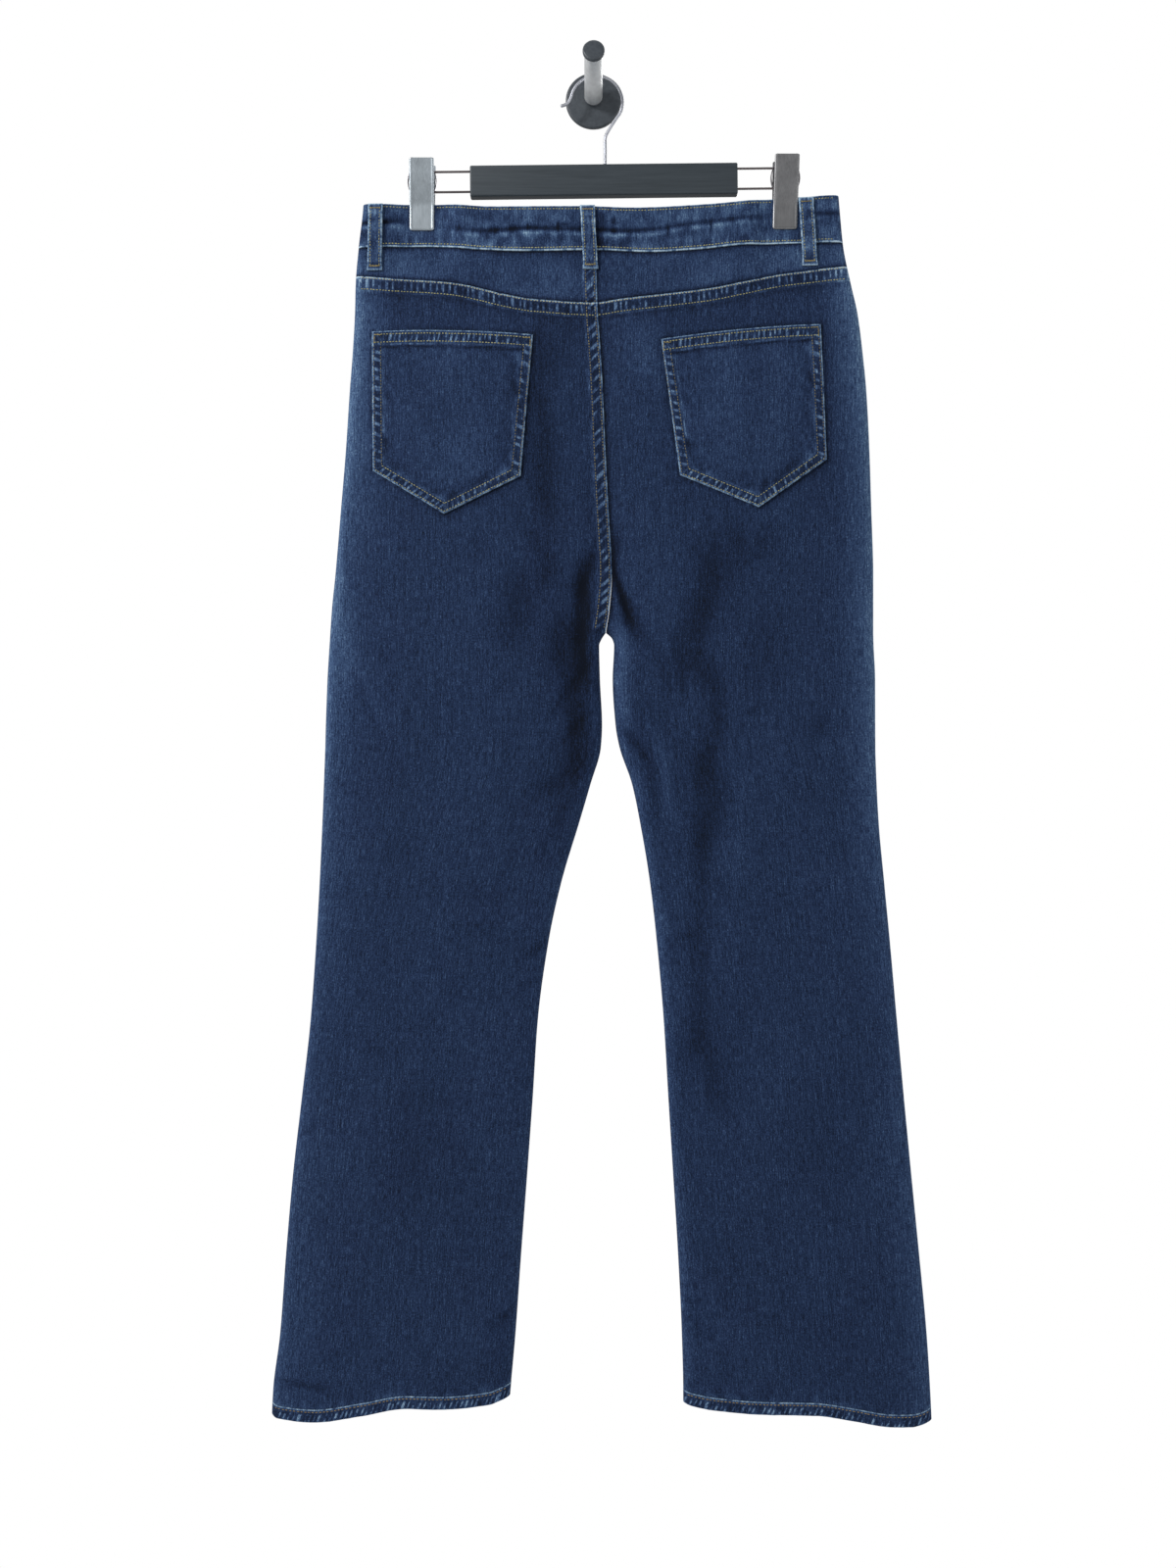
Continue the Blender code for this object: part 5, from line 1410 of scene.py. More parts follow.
def loop_base(item, x, z):
    """What a belt loop lies on: the waistband, then the cloth below it."""
    over = smooth((z - waist_foot(item.sheet, x) + 1.5) / 3.0)
    hold = pinch(x, np.full(np.shape(x), -120.0))
    seam = 0.75 if item.name == "belt_loop_back" else 0.1
    return (0.95 * (1 - hold) + 0.3) * over + seam * (1 - over)


def loop_path(item, v):
    top = float(waist_top(item.sheet, np.array(item.x_top))) - item.top_inset + 1.0
    x = item.x_top + (item.x_foot - item.x_top) * v
    return x, top - (item.length + 1.0) * v


def loop_rise(v):
    body = 0.25 + 1.35 * np.sin(math.pi * np.clip(v, 0, 1)) ** 0.8
    tack = np.exp(-((v - 0.135) / 0.03) ** 2) + np.exp(-((v - 0.935) / 0.022) ** 2)
    return body - 0.5 * tack


def side_for(x, z):
    return "left" if float(np.mean(x)) < float(np.mean(inner_edge("left", np.asarray(z)))) else "right"


def loop_surface(item, x, z, v):
    side = side_for(x, z)
    return side, loop_base(item, x, z) + 0.35 + loop_rise(v)


def belt_loops():
    for item in LOOPS:
        across = np.array([-1, -0.985, -0.93, -0.83, -0.66, -0.42, -0.15, 0.15, 0.42, 0.66, 0.83, 0.93,
                           0.985, 1])
        v = uneven(44, 0.75)[:, None] + 0 * across[None, :]
        cx, cz = loop_path(item, v)
        flare = 1 + 0.09 * np.exp(-((v - 0.97) / 0.05) ** 2) + 0.06 * np.exp(-((v - 0.04) / 0.06) ** 2)
        wobble = 0.25 * noise(cz, 0 * cz, 13.0, item.x_top * 0.1)
        x = cx + across[None, :] * LOOP_WIDTH / 2 * flare + wobble
        z = cz + 0 * x
        side, lift = loop_surface(item, x, z, v)
        rim = rounded((1 - np.abs(across[None, :])) * LOOP_WIDTH / 2, 1.1)
        ends = rounded(np.minimum(v, 1 - v) * item.length, 1.3)
        wall = LOOP_WALL * (0.35 + 0.65 * rim) * (0.45 + 0.55 * ends)
        ribs = 0.22 * np.exp(-((np.abs(across[None, :]) - 0.9) / 0.12) ** 2)
        outer = place(item.sheet, side, x, z, 0.0, lift + wall + ribs)
        inner = place(item.sheet, side, x, z, 0.0, lift)
        edge = (1 - np.abs(across[None, :])) * LOOP_WIDTH / 2 + 0 * x
        end_d = np.minimum(v, 1 - v) * item.length
        tips = smooth((4.5 - end_d) / 4.5)
        puck = noise(z, x * 0.3, 4.0, 71 + item.x_top * 0.01)
        wear_and_highlight = 0.42 + 0.45 * tips + 0.40 * puck + 0.3 * smooth((v - 0.08) / 0.04) * smooth((0.2 - v) / 0.06)
        # the shade given here paints a dark line just above the lower bar tack
        out = looks_of(x.shape, (x, z, 111.0 + item.x_top * 0.1), (np.minimum(edge, end_d), -2.0, z / 5),
                       None, wear_and_highlight, 0.4 * (np.exp(-((v - 0.90) / 0.02) ** 2)), 0.0)
        under = looks_of(x.shape, (x, z, 111.0), None, None, 0.2, 0.0, 1.0)
        CLOTH[item.name] = shell(item.name, outer, inner, out, under, DENIM)
        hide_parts(item.name)


def fly_facing():
    """Facing behind the front's left edge; the closed zip behind it is made with the button."""
    waist = lambda x: waist_foot("front", x) - SEAM_GAP - 0.4
    insets = (CLOTH_WALL + 0.7, CLOTH_WALL + 1.9)
    faces, looks = [], []
    for k, deep in enumerate(insets):
        rows_x, rows_z = [], []
        for v in np.linspace(0, 1, 44):
            narrow = 1 - 0.62 * max(0.0, (v - 0.6) / 0.4) ** 2
            u = np.linspace(0, 1, 16)
            z = np.full(16, -200.0)
            for _ in range(6):
                x = inner_edge("left", z) + 12.0 + (-FLY_WIDTH * narrow - 12.0) * u
                z = waist(x) - FLY_LENGTH * v
            rows_x.append(x)
            rows_z.append(z)
        x, z = np.array(rows_x), np.array(rows_z)
        faces.append(both_sides("front", x, z, deep))
        looks.append(looks_of(x.shape, (x, z, 121.0), None, None, 0.1, 0.0, float(k == 0)))
    CLOTH["fly_facing"] = shell("fly_facing", faces[0], faces[1], looks[0], looks[1], DENIM)
    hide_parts("fly_facing")


def both_sides(sheet, x, z, inset, lift=0.0):
    """Points of a sheet where a piece crosses the centre line."""
    left = place(sheet, "left", x, z, inset, lift)
    right = place(sheet, "right", x, z, inset, lift)
    on_left = (x < SEAT_IN["left"](z))[..., None]
    return np.where(on_left, left, right)


# --------------------------------------------------------------------- stitches
def bead_template():
    """One stitch: a soft grain of thread along +X, half length 1, radius 1."""
    rings = [(-0.62, 0.72), (-0.2, 1.0), (0.2, 1.0), (0.62, 0.72)]
    sides = 6
    points = [(-1.0, 0.0, -0.5)]
    for along, radius in rings:
        for k in range(sides):
            a = 2 * math.pi * k / sides
            drop = -0.25 * along * along
            points.append((along, radius * math.cos(a), radius * math.sin(a) + drop))
    points.append((1.0, 0.0, -0.5))
    triangles, quads = [], []
    last = len(points) - 1
    for k in range(sides):
        m = (k + 1) % sides
        triangles.append((0, 1 + m, 1 + k))
        triangles.append((last, last - sides + k, last - sides + m))
    for r in range(len(rings) - 1):
        for k in range(sides):
            m = (k + 1) % sides
            a, b = 1 + r * sides, 1 + (r + 1) * sides
            quads.append((a + k, a + m, b + m, b + k))
    return np.array(points), np.array(quads), np.array(triangles)


BEAD_POINTS, BEAD_QUADS, BEAD_TRIANGLES = bead_template()


class Stitches:
    """Collects beads of thread and makes them one mesh."""

    def __init__(self, name, mat, slot="thread"):
        self.name, self.mat, self.slot = name, mat, slot
        self.points, self.count = [], 0

    def row(self, surface, path, pitch=2.7, length=2.15, width=0.95, height=0.62, seed=1, lift=0.05):
        """Beads along a path of (x, z) points laid on surface(x, z), in millimetres."""
        path = np.asarray(path, float)
        step = np.hypot(*np.diff(path, axis=0).T)
        run = np.concatenate([[0], np.cumsum(step)])
        count = max(1, int(run[-1] / pitch))
        jitter = np.random.default_rng(seed * 7 + 3)
        at = (np.arange(count) + 0.5) * run[-1] / count + jitter.uniform(-0.12, 0.12, count) * pitch
        half = length / 2 * jitter.uniform(0.86, 1.08, count)
        xs = [np.interp(at + d * half, run, path[:, 0]) for d in (-1, 0, 1)]
        zs = [np.interp(at + d * half, run, path[:, 1]) for d in (-1, 0, 1)]
        side = jitter.uniform(-0.09, 0.09, count)
        ends = [surface(xs[k], zs[k]) for k in range(3)]
        along = ends[2] - ends[0]
        along /= np.linalg.norm(along, axis=1)[:, None] + 1e-9
        e = 0.4
        px = surface(xs[1] + e, zs[1]) - surface(xs[1] - e, zs[1])
        pz = surface(xs[1], zs[1] + e) - surface(xs[1], zs[1] - e)
        normal = np.cross(px, pz)
        normal /= np.linalg.norm(normal, axis=1)[:, None] + 1e-9
        flip = np.sign(np.where(np.abs(normal[:, 1]) < 1e-6, 1, normal[:, 1])) * self.facing
        normal *= flip[:, None]
        across = np.cross(normal, along)
        across /= np.linalg.norm(across, axis=1)[:, None] + 1e-9
        normal = np.cross(along, across)
        t = BEAD_POINTS
        centre = ends[1] + across * side[:, None] + normal * lift
        p = (centre[:, None] + t[None, :, 0, None] * (along * half[:, None])[:, None]
             + t[None, :, 1, None] * across[:, None] * width / 2
             + t[None, :, 2, None] * normal[:, None] * height / 2)
        self.points.append(p.reshape(-1, 3))
        self.count += count

    facing = -1.0

    def tack(self, surface, a, b, width=2.2, pitch=0.62, seed=1):
        """Bar tack: close zigzag stitches laid across the line from a to b."""
        a, b = np.array(a, float), np.array(b, float)
        run = np.linalg.norm(b - a)
        way = (b - a) / run
        over = np.array([-way[1], way[0]])
        for k in range(int(run / pitch)):
            c = a + way * (k + 0.5) * pitch
            lean = 0.25 * (-1) ** k
            self.row(surface, [c - over * width / 2 - way * lean, c + over * width / 2 + way * lean],
                     pitch=width, length=width, width=0.62, height=0.6, seed=seed + k, lift=0.22)

    def make(self):
        points = np.concatenate(self.points)
        shift = (np.arange(self.count) * len(BEAD_POINTS))[:, None, None]
        quads = (BEAD_QUADS[None] + shift).reshape(-1, 4)
        triangles = (BEAD_TRIANGLES[None] + shift).reshape(-1, 3)
        mesh = mesh_from(self.name, points, quads, triangles)
        bm = bmesh.new()
        bm.from_mesh(mesh)
        bmesh.ops.recalc_face_normals(bm, faces=bm.faces)
        bm.to_mesh(mesh)
        bm.free()
        mesh.shade_smooth()
        mesh.materials.append(self.mat)
        obj = link(self.name, mesh)
        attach(obj, "root")
        print(f"{self.name}: {self.count} stitches, {sum(len(p.vertices) - 2 for p in mesh.polygons)} triangles")
        return obj


def line(a, b, count=80):
    t = np.linspace(0, 1, count)[:, None]
    return np.array(a, float) * (1 - t) + np.array(b, float) * t


def on_panel(sheet, side, lift):
    return lambda x, z: place(sheet, side, x, z, 0.0, lift(sheet, side, x, z))


def on_band(sheet):
    def surface(x, z):
        out = np.where((x < SEAT_IN["left"](z))[..., None],
                       place(sheet, "left", x, z, 0.0, waistband_lift(sheet, "left", x, z)),
                       place(sheet, "right", x, z, 0.0, waistband_lift(sheet, "right", x, z)))
        return out
    return surface


def clear_of_clips(path):
    """Splits a path where the jaws cover it."""
    parts, part = [], []
    for x, z in path:
        hidden = any(abs(x - c) < CLIP_WIDTH / 2 + 1.0 for c in (CLIP_LEFT_X, CLIP_RIGHT_X)) and z > -124
        if hidden:
            if len(part) > 3:
                parts.append(part)
            part = []
        else:
            part.append((x, z))
    if len(part) > 3:
        parts.append(part)
    return parts


def along_waist(sheet, below_top=None, above_foot=None, ends=(-198.0, 212.0)):
    x = np.linspace(ends[0], ends[1], 400)
    if below_top is not None:
        z = waist_top(sheet, x) - below_top
    else:
        z = waist_foot(sheet, x) + above_foot
    return list(zip(x, z))


def back_stitches():
    tan = Stitches("stitches_back_seams", TAN)
    beige = Stitches("stitches_yoke_edge", BEIGE)
    surface = on_band("back")
    for part in clear_of_clips(along_waist("back", below_top=2.6)):
        tan.row(surface, part, seed=11, width=1.05)
    tan.row(surface, along_waist("back", above_foot=2.8), seed=12, width=1.1)
    for side in ("left", "right"):
        sign = sign_of(side)
        ends = (-206.0, 1.0) if side == "left" else (4.4, 222.5)
        x = np.linspace(ends[0], ends[1], 300)
        for rows, drop, width in ((beige, 1.25, 1.15), (tan, YOKE_BAND - 1.1, 0.95)):
            z = YOKE_EDGE(x) - drop
            rows.row(on_panel("back", side, panel_lift), list(zip(x, z)), width=width,
                     seed=13 + int(drop) + (side == "left"))
    # seat seam, down the yoke and the seat to the crotch
    umber = Stitches("stitches_seat_seam", UMBER)
    for away in (2.1, SEAT_BAND - 1.7):
        z = np.linspace(-158.0, -189.0, 40)
        x = SEAT_IN["left"](z) - away
        umber.row(on_panel("back", "left", yoke_lift), list(zip(x, z)), seed=21 + int(away))
        z = np.linspace(-192.0, -476.0, 240)
        x = SEAT_IN["left"](z) - away
        umber.row(on_panel("back", "left", panel_lift), list(zip(x, z)), seed=23 + int(away))
    for thread in (tan, beige, umber):
        thread.make()

    pocket = Stitches("stitches_pockets", TAN)
    sides = Stitches("stitches_pocket_sides", UMBER)
    gold = Stitches("stitches_tacks", GOLD)
    for p in POCKETS:
        def surface(x, z, p=p):
            return place("back", p.side, x, z, 0.0,
                         panel_lift("back", p.side, x, z) + pocket_lift(p, x, z))
        tl, tr, fl, tip, fr = (np.array(q, float) for q in (p.top_left, p.top_right, p.foot_left,
                                                            p.tip, p.foot_right))
        for down, inset in ((3.2, 1.6), (10.2, 1.6)):
            path = line(tl + (inset, -down), tr + (-inset, -down), 120)
            path[:, 1] += pocket_crown(p, path[:, 0])
            pocket.row(surface, path, seed=31 + int(down))
        for inset, drop in ((1.75, 12.0), (7.9, 10.6)):
            corners = inset_outline([tl, fl, tip, fr, tr], inset)
            down_left = line(corners[0] + (0, -drop), corners[1])
            low = np.concatenate([line(corners[1], corners[2]), line(corners[2], corners[3])[1:]])
            up_right = line(corners[3], corners[4] + (0, -drop))
            for k, path in enumerate((down_left, low, up_right)):
                thread = pocket if k == 1 else sides
                thread.row(surface, path, seed=35 + int(inset) * 3 + k, width=0.78)
        # bar tacks in the two upper corners
        for corner, way in ((tl, 1), (tr, -1)):
            gold.tack(surface, corner + (way * 2.4, -3.2), corner + (way * 9.0, -3.3), 1.0, pitch=0.75, seed=51)
            gold.tack(surface, corner + (way * 2.3, -4.4), corner + (way * 2.1, -11.6), 1.0, pitch=0.75, seed=52)
    pocket.make()
    sides.make()

    loops = Stitches("stitches_belt_loops", TAN)
    for item in LOOPS:
        gold.facing = loops.facing = -1.0 if item.sheet == "back" else 1.0

        def surface(x, z, item=item):
            top = loop_path(item, 0.0)[1]
            v = np.clip((top - z) / (item.length + 1.0), 0, 1)
            side, lift = loop_surface(item, x, z, v)
            cx = item.x_top + (item.x_foot - item.x_top) * v
            across = np.abs(x - cx) / (LOOP_WIDTH / 2)
            rim = rounded((1 - across) * LOOP_WIDTH / 2, 1.1)
            ends = rounded(np.minimum(v, 1 - v) * item.length, 1.3)
            ribs = 0.22 * np.exp(-((across - 0.9) / 0.12) ** 2)
            return place(item.sheet, side, x, z, 0.0,
                         lift + LOOP_WALL * (0.35 + 0.65 * rim) * (0.45 + 0.55 * ends) + ribs)
        for off in (-0.64, 0.64):
            v = np.linspace(0.05, 0.94, 60)
            cx, cz = loop_path(item, v)
            loops.row(surface, list(zip(cx + off * LOOP_WIDTH / 2, cz)), seed=61 + int(10 * off),
                      width=0.72)
        for v in (0.07, 0.935):
            cx, cz = loop_path(item, v)
            gold.tack(surface, (cx - 4.9, cz), (cx + 4.9, cz), 1.7 if v > 0.5 else 1.3, pitch=0.8, seed=66)
    loops.make()

    # a tack beside the fly
    gold.facing = 1.0
    surface = on_panel("front", "left", front_lift)
    zc = -290.0
    gold.tack(surface, (SEAT_IN["left"](zc) - 3.0, zc), (SEAT_IN["left"](zc) - 3.0, zc - 9), 1.9, seed=71)
    gold.make()


def inset_outline(corners, inset):
    """Corners of a line run inside an open outline at a distance (top left, down, to top right)."""
    out = []
    count = len(corners)
    middle = sum(corners) / count
    for k in range(count):
        a = corners[k - 1] if k else None
        b = corners[k]
        c = corners[k + 1] if k + 1 < count else None
        lines = []
        for s, e in ((a, b), (b, c)):
            if s is None or e is None:
                continue
            way = (e - s) / np.linalg.norm(e - s)
            inward = np.array([-way[1], way[0]])
            if np.dot(inward, middle - s) < 0:
                inward = -inward
            lines.append((s + inward * inset, way))
        if len(lines) == 1:
            p, way = lines[0]
            out.append(p + way * np.dot(b - p, way))
        else:
            (p, v), (q, w) = lines
            m = np.array([[v[0], -w[0]], [v[1], -w[1]]])
            t = np.linalg.solve(m, q - p)[0]
            out.append(p + v * t)
    return out


def hem_stitches():
    rust = Stitches("stitches_hems", RUST)
    for side in ("left", "right"):
        for sheet, facing in (("back", -1.0), ("front", 1.0)):
            rust.facing = facing
            lo, hi = sorted((float(inner_edge(side, -1160.0)), float(outer_edge(side, -1160.0))))
            x = np.linspace(lo + 2.6, hi - 2.6, 200)
            z = HEM_EDGE[side](x) + HEM_HEIGHT - 2.5
            rust.row(on_panel(sheet, side, hem_lift), list(zip(x, z)), pitch=3.3, length=2.7,
                     width=0.85, seed=81 + (side == "left"))
    rust.make()


def front_stitches():
    tan = Stitches("stitches_front", TAN)
    tan.facing = 1.0
    surface = on_band("front")
    tan.row(surface, along_waist("front", below_top=2.6, ends=(-196.0, 8.0)), seed=91)
    tan.row(surface, along_waist("front", above_foot=2.8, ends=(-196.0, 8.0)), seed=92)
    for part in clear_of_clips(along_waist("front", below_top=2.6, ends=(13.5, 210.0))):
        tan.row(surface, part, seed=93)
    tan.row(surface, along_waist("front", above_foot=2.8, ends=(13.5, 210.0)), seed=94)
    for side in ("left", "right"):
        sign = sign_of(side)
        start = float(outer_edge(side, -190.0)) - sign * MOUTH_WIDTH
        end = float(outer_edge(side, -210.0)) - sign * 3
        x = start + (end - start) * np.linspace(0.03, 1, 200) ** 0.9
        for drop in (1.8, 8.0):
            z = waist_foot("front", x) - SEAM_GAP - mouth(side, x) - drop
            tan.row(on_panel("front", side, front_lift), list(zip(x, z)), seed=95 + int(drop))
    # the fly's two rows: down from the waistband, round to the centre line
    for away, low in ((FLY_WIDTH - 4.0, -312.0), (FLY_WIDTH - 10.5, -306.0)):
        z1 = np.linspace(-162.0, low + 42, 90)
        a = np.linspace(0, math.pi / 2, 60)
        x1 = SEAT_IN["left"](z1) - away
        z2 = low + 42 - 42 * np.sin(a)
        x2 = SEAT_IN["left"](z2) - (away - 2.0) * np.cos(a) - 2.0
        tan.row(on_panel("front", "left", front_lift),
                list(zip(np.concatenate([x1, x2[1:]]), np.concatenate([z1, z2[1:]]))), seed=98)
    for away in (1.8, 6.4):
        z = np.linspace(-316.0, -476.0, 160)
        x = SEAT_IN["left"](z) - away
        tan.row(on_panel("front", "left", front_lift), list(zip(x, z)), seed=99)
    tan.make()


# ------------------------------------------------------- hanger and wall hook
def hanger_point(dx, y, dz):
    c, s = math.cos(HANGER_TILT), math.sin(HANGER_TILT)
    return (BAR_X + dx * c - dz * s, y, BAR_Z + dx * s + dz * c)


def through(points, count):
    pts = [Vector(p) for p in points]
    pts = [2 * pts[0] - pts[1]] + pts + [2 * pts[-1] - pts[-2]]
    fine = []
    for a, b, c, d in zip(pts, pts[1:], pts[2:], pts[3:]):
        for k in range(16):
            t = k / 16
            fine.append(0.5 * (2 * b + (c - a) * t + (2 * a - 5 * b + 4 * c - d) * t * t
                               + (3 * b - a - 3 * c + d) * t ** 3))
    fine.append(pts[-2])
    run = [0.0]
    for a, b in zip(fine, fine[1:]):
        run.append(run[-1] + (b - a).length)
    out = []
    for k in range(count):
        want = run[-1] * k / (count - 1)
        i = min(max(int(np.searchsorted(run, want)) - 1, 0), len(fine) - 2)
        span = run[i + 1] - run[i]
        out.append(fine[i].lerp(fine[i + 1], 0 if span == 0 else (want - run[i]) / span))
    return out


def tube(name, points, diameter, mat, sides=20):
    """Round wire with rounded ends, as one closed mesh."""
    pts = np.array([tuple(p) for p in points], float)
    tangent = np.gradient(pts, axis=0)
    tangent /= np.linalg.norm(tangent, axis=1)[:, None]
    up = np.array([0.0, 1.0, 0.0])
    radius = diameter / 2
    # rounded ends: short extra rings
    angles = np.radians([80, 55, 30, 10])
    head = [(pts[0] - tangent[0] * radius * math.sin(a) * 0.6, tangent[0], radius * math.cos(a)) for a in angles]
    tail = [(pts[-1] + tangent[-1] * radius * math.sin(a) * 0.6, tangent[-1], radius * math.cos(a)) for a in angles]
    rings = head + [(p, t, radius) for p, t in zip(pts, tangent)] + tail[::-1]
    verts = []
    for p, t, r in rings:
        side = np.cross(t, up)
        side /= np.linalg.norm(side)
        other = np.cross(side, t)
        a = np.linspace(0, 2 * math.pi, sides, endpoint=False)
        verts.append(p + r * (np.cos(a)[:, None] * side + np.sin(a)[:, None] * other))
    verts = np.array(verts)
    count = len(rings)
    r = np.arange(count - 1)[:, None]
    c = np.arange(sides)[None, :]
    d = (c + 1) % sides
    quads = np.stack([r * sides + c, r * sides + d, (r + 1) * sides + d, (r + 1) * sides + c], -1)
    points = np.concatenate([verts.reshape(-1, 3), [rings[0][0]], [rings[-1][0]]])
    first, last = len(points) - 2, len(points) - 1
    c, d = c[0], d[0]
    low = (count - 1) * sides
    triangles = np.concatenate([np.stack([c, d, np.full(sides, first)], -1)[:, ::-1] * 1,
                                np.stack([low + c, low + d, np.full(sides, last)], -1)])
    mesh = mesh_from(name, points, quads.reshape(-1, 4), triangles)
    return finish_hard(name, mesh, mat)


def finish_hard(name, mesh, mat, angle=40):
    bm = bmesh.new()
    bm.from_mesh(mesh)
    bmesh.ops.recalc_face_normals(bm, faces=bm.faces)
    if bm.calc_volume(signed=True) < 0:
        bmesh.ops.reverse_faces(bm, faces=bm.faces)
    bm.to_mesh(mesh)
    bm.free()
    mesh.shade_smooth()
    mesh.set_sharp_from_angle(angle=math.radians(angle))
    mesh.materials.append(mat)
    obj = link(name, mesh)
    return obj


def turned(name, profile, centre, axis, mat, steps=72, angle=35):
    """Lathe: profile rows of (radius, along) from one end of the axis to the other."""
    axis = Vector(axis).normalized()
    side = axis.orthogonal().normalized()
    other = axis.cross(side)
    a = np.linspace(0, 2 * math.pi, steps, endpoint=False)
    ring = np.cos(a)[:, None] * np.array(side) + np.sin(a)[:, None] * np.array(other)
    rows = [np.array(centre) + r * ring + np.array(axis) * h for r, h in profile]
    points = np.concatenate(rows + [[np.array(centre) + np.array(axis) * profile[0][1]],
                                    [np.array(centre) + np.array(axis) * profile[-1][1]]])
    count = len(profile)
    r = np.arange(count - 1)[:, None]
    c = np.arange(steps)[None, :]
    d = (c + 1) % steps
    quads = np.stack([r * steps + c, r * steps + d, (r + 1) * steps + d, (r + 1) * steps + c],
                     -1).reshape(-1, 4)
    c, d = c[0], d[0]
    low = (count - 1) * steps
    triangles = np.concatenate([np.stack([d, c, np.full(steps, len(points) - 2)], -1),
                                np.stack([low + c, low + d, np.full(steps, len(points) - 1)], -1)])
    return finish_hard(name, mesh_from(name, points, quads, triangles), mat, angle)


def shown(obj, nodes):
    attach(obj, "root")
    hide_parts(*nodes)
    return obj


def rounded_profile(radius, low, high, bevel, steps=5):
    """Rows of a plain cylinder with rounded rims."""
    rows = []
    for k in range(steps + 1):
        a = math.pi / 2 * k / steps
        rows.append((radius - bevel + bevel * math.sin(a), low + bevel - bevel * math.cos(a)))
    for k in range(steps + 1):
        a = math.pi / 2 * k / steps
        rows.append((radius - bevel + bevel * math.cos(a), high - bevel + bevel * math.sin(a)))
    return rows


def wall_hook():
    paint = black_paint_material("black_paint")
    satin = plain_metal("satin_chrome", (0.97, 0.98, 0.98), 0.48)
    chrome = plain_metal("chrome", (0.42, 0.43, 0.47), 0.46, 0.03, 0.02)
    out = (0, -1, 0)
    plate = turned("hook_plate", rounded_profile(PLATE_DIAMETER / 2, 0.0, PLATE_THICK, 1.6),
                   (0, 0, 0), out, paint, 96)
    shown(plate, ["wall_plate"])
    axis = (0, -math.cos(PEG_RISE), math.sin(PEG_RISE))
    start = (PLATE_THICK + 2.2) / math.cos(PEG_RISE)
    rows = rounded_profile(PEG_DIAMETER / 2, start, PEG_LENGTH, 0.5, 3)
    shaft = turned("peg", rows, (0, 0, 0), axis, satin, 72)
    shown(shaft, ["peg_shaft"])
    rows = rounded_profile(CAP_DIAMETER / 2, PEG_LENGTH + SEAM_GAP, PEG_LENGTH + SEAM_GAP + CAP_THICK, 1.5)
    cap = turned("peg_end_cap", rows, (0, 0, 0), axis, paint, 72)
    shown(cap, ["peg_cap"])

    foot = BAR_Z + BAR_HEIGHT / 2 + 0.45
    middle_x, middle_z, radius = 2.6, -7.7, 23.0
    points = [(HOOK_STEM_X, HANG_Y, foot), (HOOK_STEM_X, HANG_Y, -50.0),
              (HOOK_STEM_X + 0.2, HANG_Y, -39.5), (13.6, HANG_Y, -32.8), (19.4, HANG_Y, -23.6),
              (24.2, HANG_Y, -16.2)]
    for degrees in (-2, 16, 36, 56, 76, 96, 116, 136, 154, 168):
        a = math.radians(degrees)
        points.append((middle_x + radius * math.cos(a), HANG_Y, middle_z + radius * math.sin(a)))
    points += [(-22.4, HANG_Y, -8.0), (-25.4, HANG_Y, -10.3), (-28.4, HANG_Y, -11.2)]
    hook = tube("hook_wire", through(points, 150), HOOK_DIAMETER, chrome)
    # a small collar where the stem enters the bar
    shown(hook, ["hanger_hook"])
    collar = turned("hook_collar", [(HOOK_DIAMETER / 2 + 0.1, -0.1), (3.1, 0.0), (3.3, 0.4), (2.4, 1.2),
                                    (HOOK_DIAMETER / 2 + 0.1, 1.5)],
                    (HOOK_STEM_X, HANG_Y, BAR_Z + BAR_HEIGHT / 2 + 0.02), (0, 0, 1), chrome, 36)
    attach(collar, "root")


def bar():
    wood = black_wood_material("black_wood")
    mesh = bpy.data.meshes.new("bar")
    bm = bmesh.new()
    bmesh.ops.create_cube(bm, size=1.0)
    bmesh.ops.scale(bm, vec=Vector((BAR_LENGTH, BAR_THICK, BAR_HEIGHT)) * MM, verts=bm.verts)
    bmesh.ops.bevel(bm, geom=bm.edges[:], offset=1.4 * MM, segments=5, affect="EDGES", profile=0.5)
    bm.to_mesh(mesh)
    bm.free()
    mesh.shade_smooth()
    mesh.set_sharp_from_angle(angle=math.radians(40))
    mesh.materials.append(wood)
    obj = link("bar", mesh)
    obj.matrix_world = (Matrix.Translation(Vector((BAR_X, HANG_Y, BAR_Z)) * MM)
                        @ Matrix.Rotation(-HANGER_TILT, 4, "Y"))
    shown(obj, ["hanger_bar"])


def rails(steel):
    half, bend = RAIL_SPACING / 2, 4.5
    for side, reach in (("left", BAR_X - CLIP_LEFT_X + 7.5), ("right", CLIP_RIGHT_X - BAR_X + 7.5)):
        sign = sign_of(side)
        start = BAR_LENGTH / 2 + 0.3
        at = lambda dx, dz: hanger_point(sign * dx, HANG_Y, RAIL_LIFT + dz)
        turn = np.radians(np.linspace(0, 90, 13))
        upper = [at(start + (reach - bend - start) * t, half) for t in np.linspace(0, 1, 12)[:-1]]
        points = upper
        points += [at(reach - bend + bend * math.sin(a), half - bend + bend * math.cos(a)) for a in turn]
        points += [at(reach - bend + bend * math.sin(a), -half + bend - bend * math.cos(a))
                   for a in turn[::-1]]
        points += [at(start + (reach - bend - start) * t, -half) for t in np.linspace(1, 0, 12)[1:]]
        obj = tube("rail_" + side, points, RAIL_DIAMETER, steel, sides=16)
        shown(obj, ["hanger_rail_" + side])


